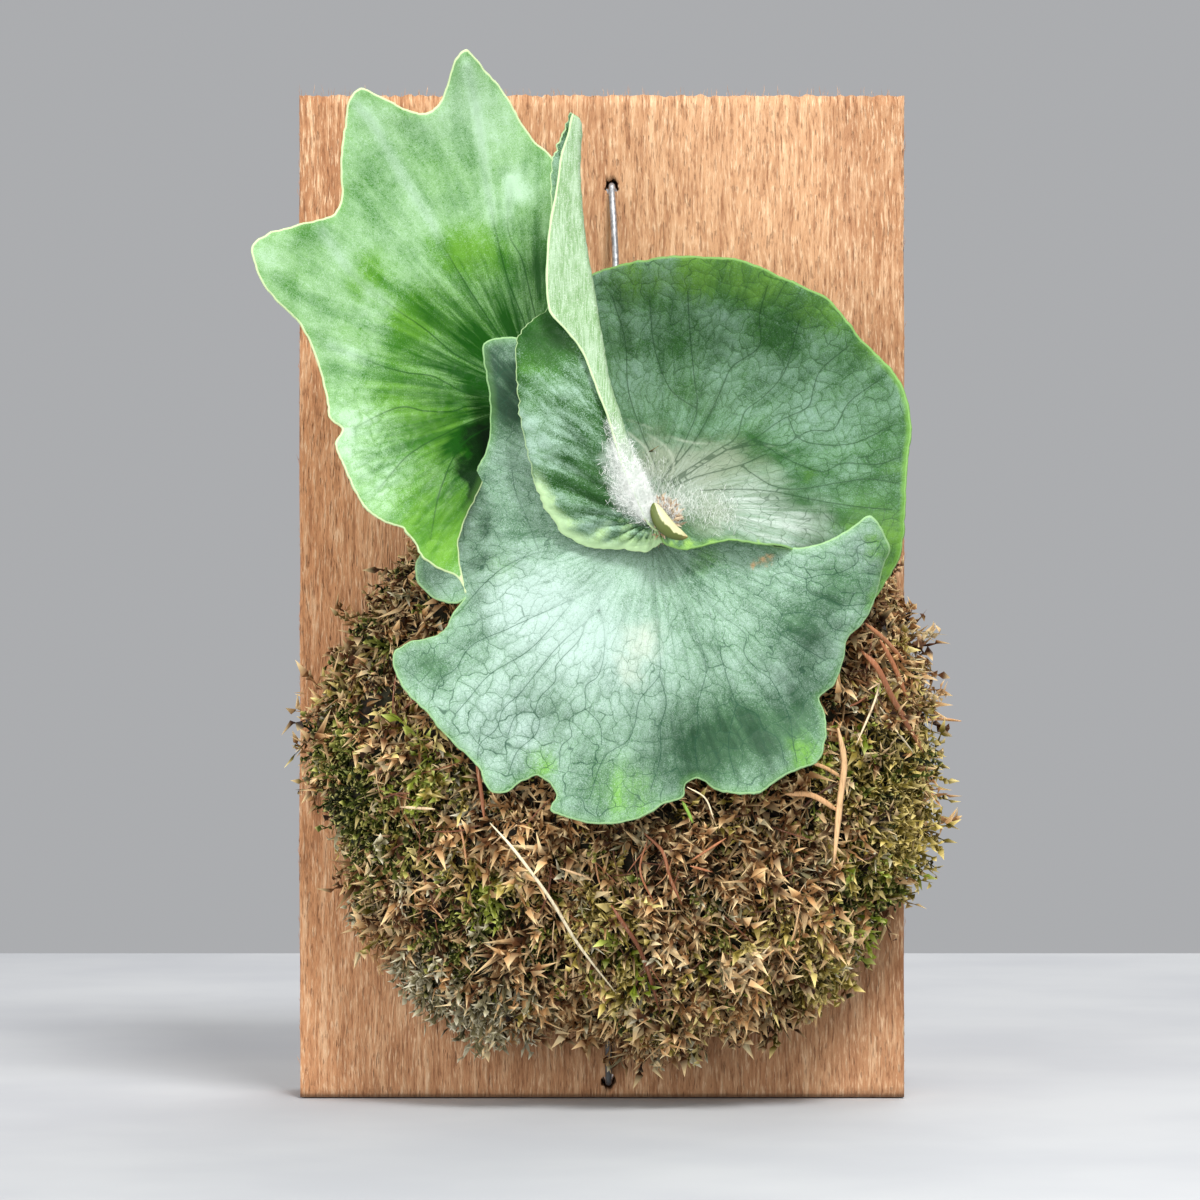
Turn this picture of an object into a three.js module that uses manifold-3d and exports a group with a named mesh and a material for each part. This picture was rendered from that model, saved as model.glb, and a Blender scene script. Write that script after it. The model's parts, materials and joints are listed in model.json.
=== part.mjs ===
// Mounted staghorn fern: an upright board, a tie wire, a moss-wrapped root ball and the fern on it.
// Millimetres, +Z up. The origin is the centre of the board's foot and the front faces -Y.
import * as THREE from 'three';
import { mergeVertices } from 'three/addons/utils/BufferGeometryUtils.js';
import Module from 'manifold-3d';

const wasm = await Module();
wasm.setup();

// Driving sizes
const BOARD_WIDTH = 184;
const BOARD_HEIGHT = 305;
const BOARD_THICKNESS = 32;
const WIRE_DIAMETER = 2;
const HOLE_DIAMETER = 3.4;
const UPPER_HOLE = { x: 3, z: 277.5 };
const LOWER_HOLE = { x: 2, z: 4.5 };
const GROOVE_DEPTH = 2.8;
const GROOVE_LENGTH = 16;
const FROND_THICKNESS = 1.2;
const SHEET_STEP = 7;
const GAP = 0.3;
const ROOT_BALL_DEPTH = 62;
const CROWN = { x: 18, z: 175.5 };
const NECK_RISE = 7;
const NECK_SPREAD = 18;
const SPRIG_COUNT = 330;
const TALLEST_PRISM = 140;

// Outlines and depths are as seen from a viewer this far away at this height, against the board's
// face: a point in front of the board is drawn in towards the line of sight by inSpace.
const VIEWER = { distance: 1500, height: 151.5 };

// Outlines, each point x and z
const UPRIGHT_OUTLINE = [
  [-41.5, 319], [-44.5, 316], [-48, 305.5], [-51, 301], [-54, 299.5], [-60.5, 301], [-68, 305],
  [-74, 307], [-77, 303.5], [-78, 297], [-79.5, 286], [-79.5, 273], [-82, 268.5], [-87, 267],
  [-96.5, 264.5], [-102.5, 262.5], [-106.5, 259], [-105.5, 253], [-102.5, 246.5], [-97, 240.5],
  [-92, 235.5], [-87, 225], [-83.5, 211.5], [-83, 207], [-79, 203.5], [-81, 199], [-79, 193],
  [-75, 184.5], [-72, 179.5], [-66.5, 175.5], [-61, 173.5], [-57.5, 169.5], [-54, 164],
  [-49.5, 161], [-44, 158.5], [-41.5, 153.5], [-43, 160], [-44, 168], [-42.5, 174.5], [-38, 184],
  [-34, 191], [-29, 194], [-14, 188], [4, 177], [17, 170], [17, 177], [4, 184], [-6, 200],
  [-11, 218.5], [-14, 237], [-14.5, 258], [-14.5, 276], [-15, 285.5], [-19.5, 290], [-23, 294],
  [-26, 299], [-28, 303], [-31.5, 308], [-35.5, 312.5], [-40, 318],
];
const ROUND_OUTLINE = [
  [18.5, 169.5], [18, 176], [11.5, 187.5], [5.5, 203], [0, 218.5], [-3, 233.5], [-4.5, 244],
  [-3.5, 250], [1, 252], [5, 253], [11, 254.5], [18.5, 255.5], [24.5, 256], [33.5, 255.5],
  [41.5, 255], [47, 253], [54, 250], [61, 247], [68, 243.5], [73, 238.5], [77, 233], [82.5, 227],
  [88, 221.5], [91.5, 216], [93.5, 209], [94, 202.5], [93, 194.5], [92.5, 186], [92, 176.5],
  [91.5, 169], [90.5, 164.5], [88.5, 161], [86, 156.5], [83, 152.5], [77, 151], [70, 154],
  [64.5, 159.5], [61, 164.5], [56.5, 167.5], [48.5, 168.5], [38.5, 169.5], [31, 168], [24, 167],
];
const FRONT_OUTLINE = [
  [-36, 229.5], [-31, 231], [-26, 231], [-16.5, 221], [-5, 195.5], [5.5, 181], [17, 177],
  [26, 171], [36, 170.5], [46.5, 169.5], [53.5, 166.5], [58, 165.5], [63, 166.5], [70.5, 170],
  [77, 174], [81.5, 177], [83.5, 175.5], [86, 170.5], [87.5, 167], [86, 163], [84.5, 157.5],
  [82.5, 150.5], [78.5, 143.5], [75, 141], [73.5, 134.5], [70.5, 126], [66, 121.5],
  [67.5, 117.5], [68, 114], [67.5, 107.5], [65, 102], [58.5, 99.5], [53, 96.5], [48, 93],
  [41, 92.5], [34.5, 94], [31, 96.5], [28, 97], [25.5, 95.5], [24.5, 91.5], [17.5, 89],
  [15, 87], [7.5, 84], [-3.5, 83.5], [-11, 85.5], [-15.5, 87.5], [-13.5, 92], [-15.5, 95.5],
  [-20, 98], [-23, 97], [-26, 95.5], [-29, 93], [-33.5, 93], [-35.5, 95.5], [-37, 100],
  [-42.5, 105.5], [-49, 112], [-53.5, 117.5], [-59, 123], [-62.5, 129], [-63.5, 134.5],
  [-59.5, 138], [-53.5, 139.5], [-48, 142], [-45, 147.5], [-41.5, 152], [-44.5, 150.5],
  [-48, 151], [-52, 152.5], [-56.5, 158.5], [-56, 163.5], [-53.5, 168], [-48, 174], [-41, 177.5],
  [-35.5, 184], [-33.5, 190], [-34, 199], [-34, 212.5], [-35.5, 222.5],
];

// Depths in front of the board's face, each point x, z and depth
const UPRIGHT_DEPTHS = [
  [18, 176, 60], [0, 185, 54], [-12, 196, 49], [-31, 194, 48], [-38, 184, 64], [-42.5, 172, 71],
  [-41.5, 154, 75], [-54, 164, 75], [-66, 176, 73], [-80, 203, 68], [-62, 208, 60],
  [-47, 215, 50], [-32, 228, 42], [-16, 250, 44], [-15, 284, 49], [-31, 307, 56], [-41.5, 319, 63],
  [-54, 299, 57], [-76, 305, 65], [-80, 279, 62], [-62, 272, 53], [-45, 270, 48],
  [-106.5, 258, 77], [-93, 237, 71], [-72, 240, 57], [-46, 190, 66],
];
const ROUND_DEPTHS = [
  [18, 173, 72], [31, 168, 74.5], [48.5, 168, 73.5], [57, 167, 70.5], [64, 160, 62],
  [77, 151, 56], [89, 161, 54], [92.5, 186, 51], [94, 203, 47], [90, 218, 43], [77, 233, 39],
  [54, 250, 36], [25, 256, 33], [0, 251, 24], [-4, 235, 22], [3, 210, 25], [8, 196, 38],
  [28, 201, 28], [51, 198, 31], [71, 195, 40], [36, 226, 20], [62, 224, 28], [27, 183, 58],
  [45, 181, 60], [65, 178, 58], [81, 179, 52], [13, 186, 52],
];
const FRONT_DEPTHS = [
  [18, 172, 65], [0, 187, 63], [-15, 213, 61], [-29, 231, 59], [-34, 205, 60], [-34, 188, 60],
  [-41, 177, 57], [-56, 161, 55], [-43, 152, 60], [-13, 165, 70], [-63, 134, 66], [-52, 119, 70],
  [-35, 94, 75], [-19, 124, 73], [11, 138, 75], [11, 112, 76], [-21, 97, 73], [-15, 87, 79],
  [0, 84, 84], [17, 89, 80], [28, 96, 72], [41, 93, 79], [67, 104, 74], [67, 114, 71],
  [66, 122, 66], [75, 139, 67], [86, 158, 67], [87, 167, 72], [82, 176, 76], [63, 166.5, 73],
  [54, 166.5, 67], [36, 170, 66], [36, 148, 72], [60, 139, 73], [45, 115, 74],
];

// The folded frond in rows from its foot to its tip: the crease at its right, the free margin of the
// green wing behind, and how far left of the crease the margin of the pale wing in front reaches
const FOLDED_ROWS = [
  { crease: [16, 174.5], margin: [18.5, 169], pale: 1, depth: 76 },
  { crease: [15.5, 176], margin: [13, 166.5], pale: 1, depth: 77 },
  { crease: [15, 177.5], margin: [5.5, 167], pale: 1, depth: 77.5 },
  { crease: [14.5, 179.5], margin: [-3.5, 167.5], pale: 1.2, depth: 78 },
  { crease: [13.5, 183], margin: [-11.5, 171.5], pale: 1.6, depth: 79 },
  { crease: [12, 187], margin: [-16, 177.5], pale: 1.8, depth: 80 },
  { crease: [10, 191.5], margin: [-20, 186], pale: 2, depth: 80.5 },
  { crease: [8, 198], margin: [-22.5, 195.5], pale: 2.2, depth: 81 },
  { crease: [6, 205.5], margin: [-24.5, 205.5], pale: 2.4, depth: 81 },
  { crease: [3.5, 213], margin: [-25.5, 214.5], pale: 2.8, depth: 80 },
  { crease: [1.5, 220], margin: [-26, 223.5], pale: 3.6, depth: 78.5 },
  { crease: [0.5, 226.5], margin: [-26, 230.5], pale: 5.5, depth: 77 },
  { crease: [-0.5, 232.5], margin: [-23.5, 234.5], pale: 9, depth: 76 },
  { crease: [-1.5, 237.5], margin: [-19.5, 237.8], pale: 12, depth: 74.5 },
  { crease: [-2, 241.5], margin: [-16, 240.8], pale: 14, depth: 73 },
  { crease: [-3.5, 250], margin: [-15.5, 252], pale: 13.5, depth: 71.5 },
  { crease: [-5.5, 262], margin: [-15, 265], pale: 10.5, depth: 69.5 },
  { crease: [-6.5, 272.5], margin: [-15.5, 277], pale: 7, depth: 68 },
  { crease: [-7, 282], margin: [-15, 285.5], pale: 5, depth: 67 },
  { crease: [-6.8, 289], margin: [-13.5, 289.5], pale: 3.6, depth: 67 },
  { crease: [-6.5, 294], margin: [-11.5, 294], pale: 2.4, depth: 67.5 },
  { crease: [-7, 298], margin: [-9.5, 299.5], pale: 1, depth: 68 },
];
const FOLD_RADIUS = 1.3;
const FOLD_STEPS = 4;
const GREEN_STEPS = 6;
const PALE_STEPS = 3;
const GREEN_BULGE = 0.1;
const GREEN_LEAN = 0.2;
const PALE_LEAN = 0.25;

// The crown's outline, each point its radius and its depth in front of the board
const CROWN_PROFILE = [
  [0, 15], [6, 16], [9, 22], [10, 32], [9.6, 44], [8, 55], [6.4, 63], [5.2, 69], [4, 74], [2.4, 77.5], [0, 79],
];
const CROWN_SIDES = 16;
const BUD = { x: 20.5, z: 175, depth: 80.8, length: 12, girth: 3, taper: 0.55, bend: 1.6, turn: Math.PI / 4 };
const WIRE_SIDES = 3;
const WIRE_STEPS = 87;
const LUMP_HEIGHT = 2.6;
const SPRIG_LENGTH = 8;
const SPRIG_GIRTH = 2.9;
const SPRIG_FLATNESS = 0.45;
const SPRIG_SUNK = 4;
const SPRIG_SPREAD = 1.8;
const SPRIG_REACH = 0.98;
const LOWEST_SPRIG = 6;
const STRAW_LIFT = 0.2;

// The rim of the root ball where it meets the board, each point x and z
const MOSS_RIM = [
  [-50, 172], [-66, 153], [-78, 133], [-85, 113], [-84, 94], [-75, 79], [-71, 62], [-62, 47],
  [-51, 34], [-37, 25], [-16, 30], [0, 27], [12, 19], [26, 21], [38, 28], [56, 29], [68, 39],
  [80, 56], [92, 72], [97, 92], [97, 114], [93, 134], [87, 152], [80, 170], [66, 186], [44, 196],
  [16, 199], [-10, 196], [-33, 186],
];
const MOSS_CENTRE = { x: 5, z: 96 };
const MOSS_RINGS = 15;
const MOSS_SECTORS = 58;
const MOUND_SPREAD = 0.9;
const MOUND_FULLNESS = 0.72;

// Straws caught in the moss: points x and z along each, and its width
const STRAWS = [
  { width: 1.2, along: [[-34, 83.5], [-24, 72], [-15.5, 60], [-7, 46.5], [4.5, 31.5]] },
  { width: 2.2, along: [[71.5, 112], [74, 102], [73, 93], [70.5, 71]] },
  { width: 1.4, along: [[55.5, 92.5], [63.5, 92], [71.5, 87.5]] },
  { width: 2, along: [[79, 136], [83.5, 131], [88.5, 121], [96.5, 105.5]] },
  { width: 1.4, along: [[80, 144.5], [86, 138], [92.5, 132]] },
  { width: 1.2, along: [[34.5, 33], [43, 38], [52.5, 44.5]] },
  { width: 1.2, along: [[2.5, 58.5], [11, 45], [17.5, 26]] },
];

const MATERIALS = {
  board: { color: 0xc48c5f, roughness: 0.85, metalness: 0 },
  tie_wire: { color: 0x9a9c9e, roughness: 0.45, metalness: 0.9 },
  moss: { color: 0x6f6233, roughness: 0.95, metalness: 0 },
  crown: { color: 0x7a5230, roughness: 0.9, metalness: 0 },
  bud: { color: 0xa9b070, roughness: 0.7, metalness: 0 },
  frond_upright: { color: 0x66b050, roughness: 0.55, metalness: 0 },
  frond_round: { color: 0x5f876e, roughness: 0.7, metalness: 0 },
  frond_front: { color: 0x9dbfb0, roughness: 0.7, metalness: 0 },
  frond_folded: { color: 0x86a98c, roughness: 0.75, metalness: 0 },
};

// A closed solid from a closed geometry, its shared corners merged
function solidFrom(geometry) {
  geometry.deleteAttribute('normal');
  geometry.deleteAttribute('uv');
  const merged = mergeVertices(geometry, 1e-3);
  const vertProperties = new Float32Array(merged.attributes.position.array);
  const triVerts = new Uint32Array(merged.index.array);
  return new wasm.Manifold(new wasm.Mesh({ numProp: 3, vertProperties, triVerts }));
}

// The largest single body of a solid, without loose scraps
function mainBody(solid) {
  let best = null;
  for (const piece of solid.decompose()) {
    if (!best || piece.volume() > best.volume()) best = piece;
  }
  return best;
}

function geometryFrom(solid) {
  const { vertProperties, triVerts } = solid.getMesh();
  const geometry = new THREE.BufferGeometry();
  geometry.setAttribute('position', new THREE.BufferAttribute(vertProperties, 3));
  geometry.setIndex(new THREE.BufferAttribute(triVerts, 1));
  return geometry;
}

// Moves points from as seen against the board to where they are, drawn in along the line of sight
function inSpace(geometry) {
  const position = geometry.attributes.position;
  for (let i = 0; i < position.count; i++) {
    const depth = -position.getY(i);
    const pull = 1 - Math.max(depth, 0) / VIEWER.distance;
    const z = VIEWER.height + (position.getZ(i) - VIEWER.height) * pull;
    position.setXYZ(i, position.getX(i) * pull, -depth - BOARD_THICKNESS / 2, z);
  }
  return geometry;
}

function seededRandom(seed) {
  let state = seed;
  return () => {
    state = (state * 1664525 + 1013904223) % 4294967296;
    return state / 4294967296;
  };
}

// Rounds an outline through its points, with a few steps between each two
function rounded(outline, steps) {
  const curve = new THREE.CatmullRomCurve3(outline.map(([x, z]) => new THREE.Vector3(x, 0, z)), true);
  const count = outline.length * steps;
  const points = [];
  for (let i = 0; i < count; i++) {
    const p = curve.getPoint(i / count);
    points.push(new THREE.Vector2(p.x, p.z));
  }
  return points;
}

// Solves a small set of linear equations, rows of coefficients with the right side last
function solved(rows) {
  const n = rows.length;
  for (let col = 0; col < n; col++) {
    let pivot = col;
    for (let r = col + 1; r < n; r++) {
      if (Math.abs(rows[r][col]) > Math.abs(rows[pivot][col])) pivot = r;
    }
    [rows[col], rows[pivot]] = [rows[pivot], rows[col]];
    for (let r = 0; r < n; r++) {
      if (r === col) continue;
      const share = rows[r][col] / rows[col][col];
      for (let c = col; c <= n; c++) rows[r][c] -= share * rows[col][c];
    }
  }
  return rows.map((row, i) => row[n] / row[i]);
}

// A surface that runs smoothly through given depths, as a thin plate bends
function plateThrough(depths) {
  const bend = (x, z, p) => {
    const square = (x - p[0]) ** 2 + (z - p[1]) ** 2;
    return square < 1e-9 ? 0 : square * Math.log(square);
  };
  const rows = depths.map((p) => [...depths.map((q) => bend(p[0], p[1], q)), 1, p[0], p[1], p[2]]);
  rows.push([...depths.map(() => 1), 0, 0, 0, 0]);
  rows.push([...depths.map((q) => q[0]), 0, 0, 0, 0]);
  rows.push([...depths.map((q) => q[1]), 0, 0, 0, 0]);
  const weights = solved(rows);
  const [level, slopeX, slopeZ] = weights.slice(depths.length);
  return (x, z) => depths.reduce((sum, p, i) => sum + weights[i] * bend(x, z, p), level + slopeX * x + slopeZ * z);
}

// A closed sheet of even thickness on a grid of points, split alike on both faces
function sheetOn(grid, thickness) {
  const rows = grid.length;
  const columns = grid[0].length;
  const positions = [];
  for (const side of [0.5, -0.5]) {
    for (let i = 0; i < rows; i++) {
      for (let j = 0; j < columns; j++) {
        const [above, below] = [grid[Math.min(i + 1, rows - 1)][j], grid[Math.max(i - 1, 0)][j]];
        const [right, left] = [grid[i][Math.min(j + 1, columns - 1)], grid[i][Math.max(j - 1, 0)]];
        const normal = above.clone().sub(below).cross(right.clone().sub(left)).normalize();
        const p = grid[i][j].clone().addScaledVector(normal, thickness * side);
        positions.push(p.x, p.y, p.z);
      }
    }
  }
  const back = rows * columns;
  const at = (i, j) => i * columns + j;
  const index = [];
  const face = (a, b, c, d) => index.push(a, b, c, a, c, d);
  for (let i = 0; i + 1 < rows; i++) {
    for (let j = 0; j + 1 < columns; j++) {
      const [a, b, c, d] = [at(i, j), at(i + 1, j), at(i + 1, j + 1), at(i, j + 1)];
      index.push(a, b, c, a, c, d);
      index.push(back + a, back + c, back + b, back + a, back + d, back + c);
    }
  }
  for (let i = 0; i + 1 < rows; i++) {
    face(at(i, 0), back + at(i, 0), back + at(i + 1, 0), at(i + 1, 0));
    const last = columns - 1;
    face(at(i + 1, last), back + at(i + 1, last), back + at(i, last), at(i, last));
  }
  for (let j = 0; j + 1 < columns; j++) {
    face(at(0, j + 1), back + at(0, j + 1), back + at(0, j), at(0, j));
    const last = rows - 1;
    face(at(last, j), back + at(last, j), back + at(last, j + 1), at(last, j + 1));
  }
  const geometry = new THREE.BufferGeometry();
  geometry.setAttribute('position', new THREE.Float32BufferAttribute(positions, 3));
  geometry.setIndex(index);
  return geometry;
}

// An open frond: a bent sheet cut to its outline and clear of the crown
function frond(outline, depths, crownRoom) {
  const depthAt = plateThrough(depths);
  const rim = rounded(outline, 2);
  const box = new THREE.Box2().setFromPoints(rim).expandByScalar(SHEET_STEP / 2);
  const columns = Math.ceil((box.max.x - box.min.x) / SHEET_STEP);
  const rows = Math.ceil((box.max.y - box.min.y) / SHEET_STEP);
  const grid = [];
  for (let i = 0; i <= rows; i++) {
    grid.push([]);
    for (let j = 0; j <= columns; j++) {
      const x = box.min.x + j * SHEET_STEP;
      const z = box.min.y + i * SHEET_STEP;
      grid[i].push(new THREE.Vector3(x, -depthAt(x, z), z));
    }
  }
  const prism = new THREE.ExtrudeGeometry(new THREE.Shape(rim), { depth: TALLEST_PRISM, bevelEnabled: false });
  prism.rotateX(Math.PI / 2);
  const sheet = solidFrom(sheetOn(grid, FROND_THICKNESS)).intersect(solidFrom(prism));
  return mainBody(sheet.subtract(crownRoom));
}

// The folded frond: the green wing, the round crease and the pale wing in front, row by row
function foldedFrond(crownRoom) {
  const grid = FOLDED_ROWS.map(({ crease, margin, pale, depth }) => {
    const span = new THREE.Vector2(crease[0] - margin[0], crease[1] - margin[1]);
    const length = span.length();
    const out = span.clone().divideScalar(length);
    const hinge = new THREE.Vector2(crease[0], crease[1]).addScaledVector(out, -FOLD_RADIUS);
    const green = length - FOLD_RADIUS;
    const row = [];
    for (let j = 0; j < GREEN_STEPS; j++) {
      const t = 1 - j / GREEN_STEPS;
      const p = hinge.clone().addScaledVector(out, -green * t);
      const lean = green * (GREEN_BULGE * Math.sin(Math.PI * t) - GREEN_LEAN * t);
      row.push(new THREE.Vector3(p.x, FOLD_RADIUS - depth - lean, p.y));
    }
    for (let k = 0; k <= FOLD_STEPS; k++) {
      const turn = Math.PI * (k / FOLD_STEPS - 0.5);
      const p = hinge.clone().addScaledVector(out, FOLD_RADIUS * Math.cos(turn));
      row.push(new THREE.Vector3(p.x, -depth - FOLD_RADIUS * Math.sin(turn), p.y));
    }
    for (let j = 1; j <= PALE_STEPS; j++) {
      const t = j / PALE_STEPS;
      const p = hinge.clone().addScaledVector(out, -pale * t);
      row.push(new THREE.Vector3(p.x, -depth - FOLD_RADIUS - PALE_LEAN * pale * t, p.y));
    }
    return row;
  });
  return mainBody(solidFrom(sheetOn(grid, FROND_THICKNESS)).subtract(crownRoom));
}

// The crown: a stubby scaly rhizome that grows forward out of the root ball
function crownSolid(room) {
  const last = CROWN_PROFILE.length - 1;
  const points = CROWN_PROFILE.map(([radius, depth], i) => {
    const grow = i === 0 ? -room : i === last ? room : 0;
    return new THREE.Vector2(radius === 0 ? 0 : radius + room, depth + grow);
  });
  const lathe = new THREE.LatheGeometry(points, CROWN_SIDES);
  lathe.rotateX(Math.PI);
  lathe.translate(CROWN.x, 0, CROWN.z);
  return solidFrom(lathe);
}

// The bud of a new frond: a small pale horn that lies across the crown's tip
function budSolid() {
  const horn = new THREE.SphereGeometry(1, 10, 8);
  const position = horn.attributes.position;
  for (let i = 0; i < position.count; i++) {
    const along = position.getY(i);
    const bend = BUD.bend * along * along;
    const thin = 1 - BUD.taper * Math.max(along, 0);
    const girth = (thin * BUD.girth) / 2;
    position.setXYZ(i, (along * BUD.length) / 2, -position.getX(i) * girth, position.getZ(i) * girth - bend);
  }
  horn.rotateY(BUD.turn);
  horn.translate(BUD.x, -BUD.depth, BUD.z);
  return solidFrom(horn);
}

// A path whose steps follow its own points, which lie closer together at the bends
class BentPath extends THREE.CatmullRomCurve3 {
  getPointAt(t, target) {
    return this.getPoint(t, target);
  }

  getTangentAt(t, target) {
    return this.getTangent(t, target);
  }
}

// A round rod along a path of points x, depth and z
function rodAlong(path, diameter, sides, steps) {
  const curve = new BentPath(path.map(([x, depth, z]) => new THREE.Vector3(x, -depth, z)));
  const section = new THREE.Shape();
  section.absarc(0, 0, diameter / 2, 0, 2 * Math.PI);
  const rod = new THREE.ExtrudeGeometry(section, { steps, curveSegments: sides, extrudePath: curve });
  return solidFrom(rod);
}

// The tie wire: through the upper hole, down through the root ball and back through the lower hole,
// with both ends turned over into grooves in the back of the board
function wirePath() {
  const sunk = BOARD_THICKNESS - GROOVE_DEPTH + WIRE_DIAMETER / 2 + GAP;
  const end = GROOVE_LENGTH - WIRE_DIAMETER;
  const turnedOver = (hole, side) => [
    [hole.x, -sunk, hole.z + side * end], [hole.x, -sunk, hole.z + side * 6],
    [hole.x, -sunk, hole.z + side * 2], [hole.x, 0.45 - sunk, hole.z + side * 0.4],
    [hole.x, 1.7 - sunk, hole.z], [hole.x, -15, hole.z], [hole.x, -1, hole.z],
    [hole.x, 0.3, hole.z], [hole.x, 1.25, hole.z + side * 0.4], [hole.x, 1.7, hole.z + side * 2],
  ];
  return [
    ...turnedOver(UPPER_HOLE, -1), [3.6, 5, 266], [4.2, 9, 252.5], [4, 13, 230], [4, 19, 205],
    [4, 28, 180], [3.5, 36, 140], [3, 36, 100], [2.5, 26, 60], [LOWER_HOLE.x, 12, 34],
    [LOWER_HOLE.x, 4.5, 18], ...turnedOver(LOWER_HOLE, 1).reverse(),
  ];
}

// The board, with its two holes and the grooves that hide the wire's ends
function boardSolid() {
  const plank = new THREE.BoxGeometry(BOARD_WIDTH, BOARD_THICKNESS, BOARD_HEIGHT);
  plank.translate(0, 0, BOARD_HEIGHT / 2);
  let board = solidFrom(plank);
  for (const [hole, side] of [[UPPER_HOLE, -1], [LOWER_HOLE, 1]]) {
    const bore = new THREE.CylinderGeometry(HOLE_DIAMETER / 2, HOLE_DIAMETER / 2, BOARD_THICKNESS + 2, 16);
    bore.translate(hole.x, 0, hole.z);
    const groove = new THREE.BoxGeometry(HOLE_DIAMETER, 2 * GROOVE_DEPTH, GROOVE_LENGTH);
    groove.translate(hole.x, BOARD_THICKNESS / 2, hole.z + (side * GROOVE_LENGTH) / 2);
    board = board.subtract(solidFrom(bore)).subtract(solidFrom(groove));
  }
  return mainBody(board);
}

// Shallow lumps and hollows over the moss
function lumpAt(x, z) {
  const broad = Math.sin(x / 9 + 1.3) * Math.sin(z / 8 + 0.7);
  const fine = Math.sin(x / 4.3 + z / 6.1) * Math.sin(z / 4.7 - x / 7.3);
  return LUMP_HEIGHT * (broad + 0.7 * fine);
}

// The rim's distance from the moss's centre in a direction
function rimReach(turn, rim) {
  const ray = new THREE.Vector2(Math.cos(turn), Math.sin(turn));
  let reach = 0;
  for (let i = 0; i < rim.length; i++) {
    const a = rim[i];
    const b = rim[(i + 1) % rim.length];
    const edge = new THREE.Vector2().subVectors(b, a);
    const cross = ray.cross(edge);
    if (Math.abs(cross) < 1e-9) continue;
    const share = -a.cross(ray) / edge.cross(ray);
    const length = a.cross(edge) / cross;
    if (share >= 0 && share <= 1 && length > reach) reach = length;
  }
  return reach;
}

// A point on the moss: turn round its centre, and out from 0 in front to 1 at the board
function mossPoint(turn, out, rim) {
  const angle = (out * Math.PI) / 2;
  const reach = rimReach(turn, rim) * Math.sin(angle) ** MOUND_SPREAD;
  const x = MOSS_CENTRE.x + reach * Math.cos(turn);
  const z = MOSS_CENTRE.z + reach * Math.sin(turn);
  const neck = Math.exp(-((x - CROWN.x) ** 2 + (z - CROWN.z) ** 2) / (2 * NECK_SPREAD ** 2));
  const height = (ROOT_BALL_DEPTH + lumpAt(x, z)) * Math.cos(angle) ** MOUND_FULLNESS + NECK_RISE * neck;
  return new THREE.Vector3(x, -height - GAP, z);
}

// The root ball in its moss: a lumpy mound with a flat back
function mossMound(rim) {
  const positions = [];
  const index = [];
  const front = mossPoint(0, 0, rim);
  positions.push(front.x, front.y, front.z);
  for (let i = 1; i <= MOSS_RINGS; i++) {
    for (let j = 0; j < MOSS_SECTORS; j++) {
      const p = mossPoint((2 * Math.PI * j) / MOSS_SECTORS, i / MOSS_RINGS, rim);
      positions.push(p.x, i === MOSS_RINGS ? -GAP : p.y, p.z);
    }
  }
  positions.push(MOSS_CENTRE.x, -GAP, MOSS_CENTRE.z);
  const at = (i, j) => 1 + (i - 1) * MOSS_SECTORS + (j % MOSS_SECTORS);
  for (let j = 0; j < MOSS_SECTORS; j++) {
    index.push(0, at(1, j), at(1, j + 1));
    index.push(positions.length / 3 - 1, at(MOSS_RINGS, j + 1), at(MOSS_RINGS, j));
  }
  for (let i = 1; i < MOSS_RINGS; i++) {
    for (let j = 0; j < MOSS_SECTORS; j++) {
      index.push(at(i, j), at(i + 1, j), at(i + 1, j + 1), at(i, j), at(i + 1, j + 1), at(i, j + 1));
    }
  }
  const mound = new THREE.BufferGeometry();
  mound.setAttribute('position', new THREE.Float32BufferAttribute(positions, 3));
  mound.setIndex(index);
  return solidFrom(mound);
}

function within(x, z, outline) {
  let inside = false;
  for (let i = 0, j = outline.length - 1; i < outline.length; j = i++) {
    const [a, b] = [outline[i], outline[j]];
    if (a[1] > z !== b[1] > z && x < ((b[0] - a[0]) * (z - a[1])) / (b[1] - a[1]) + a[0]) inside = !inside;
  }
  return inside;
}

// Sprigs of moss that stand out of the mound wherever no frond lies over it
function mossSprigs(rim) {
  const random = seededRandom(7);
  const covers = [UPRIGHT_OUTLINE, ROUND_OUTLINE, FRONT_OUTLINE];
  const hidden = (p) => covers.some((outline) => within(p.x, p.z, outline));
  const sprigs = [];
  for (let i = 0; i < SPRIG_COUNT; i++) {
    const turn = i * Math.PI * (3 - Math.sqrt(5));
    const out = SPRIG_REACH * Math.sqrt((i + 0.5) / SPRIG_COUNT);
    const root = mossPoint(turn, out, rim);
    const angle = (out * Math.PI) / 2;
    const sideways = Math.sin(angle);
    const aim = new THREE.Vector3(Math.cos(turn) * sideways, -Math.cos(angle), Math.sin(turn) * sideways);
    aim.add(new THREE.Vector3(random() - 0.5, -random() * 0.3, random() - 0.7).multiplyScalar(SPRIG_SPREAD));
    aim.normalize();
    const length = SPRIG_LENGTH * (0.6 + 0.8 * random() * out);
    const girth = SPRIG_GIRTH * (0.8 + 0.4 * random());
    const spin = random() * Math.PI;
    const tip = root.clone().addScaledVector(aim, length);
    if (hidden(root) || hidden(tip) || tip.y > -1 || tip.z < LOWEST_SPRIG) continue;
    const cone = new THREE.ConeGeometry(girth, length + SPRIG_SUNK, 3);
    cone.scale(1, 1, SPRIG_FLATNESS);
    cone.rotateY(spin);
    cone.applyQuaternion(new THREE.Quaternion().setFromUnitVectors(new THREE.Vector3(0, 1, 0), aim));
    const middle = root.clone().addScaledVector(aim, (length - SPRIG_SUNK) / 2);
    cone.translate(middle.x, middle.y, middle.z);
    sprigs.push(solidFrom(cone));
  }
  return sprigs;
}

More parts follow.
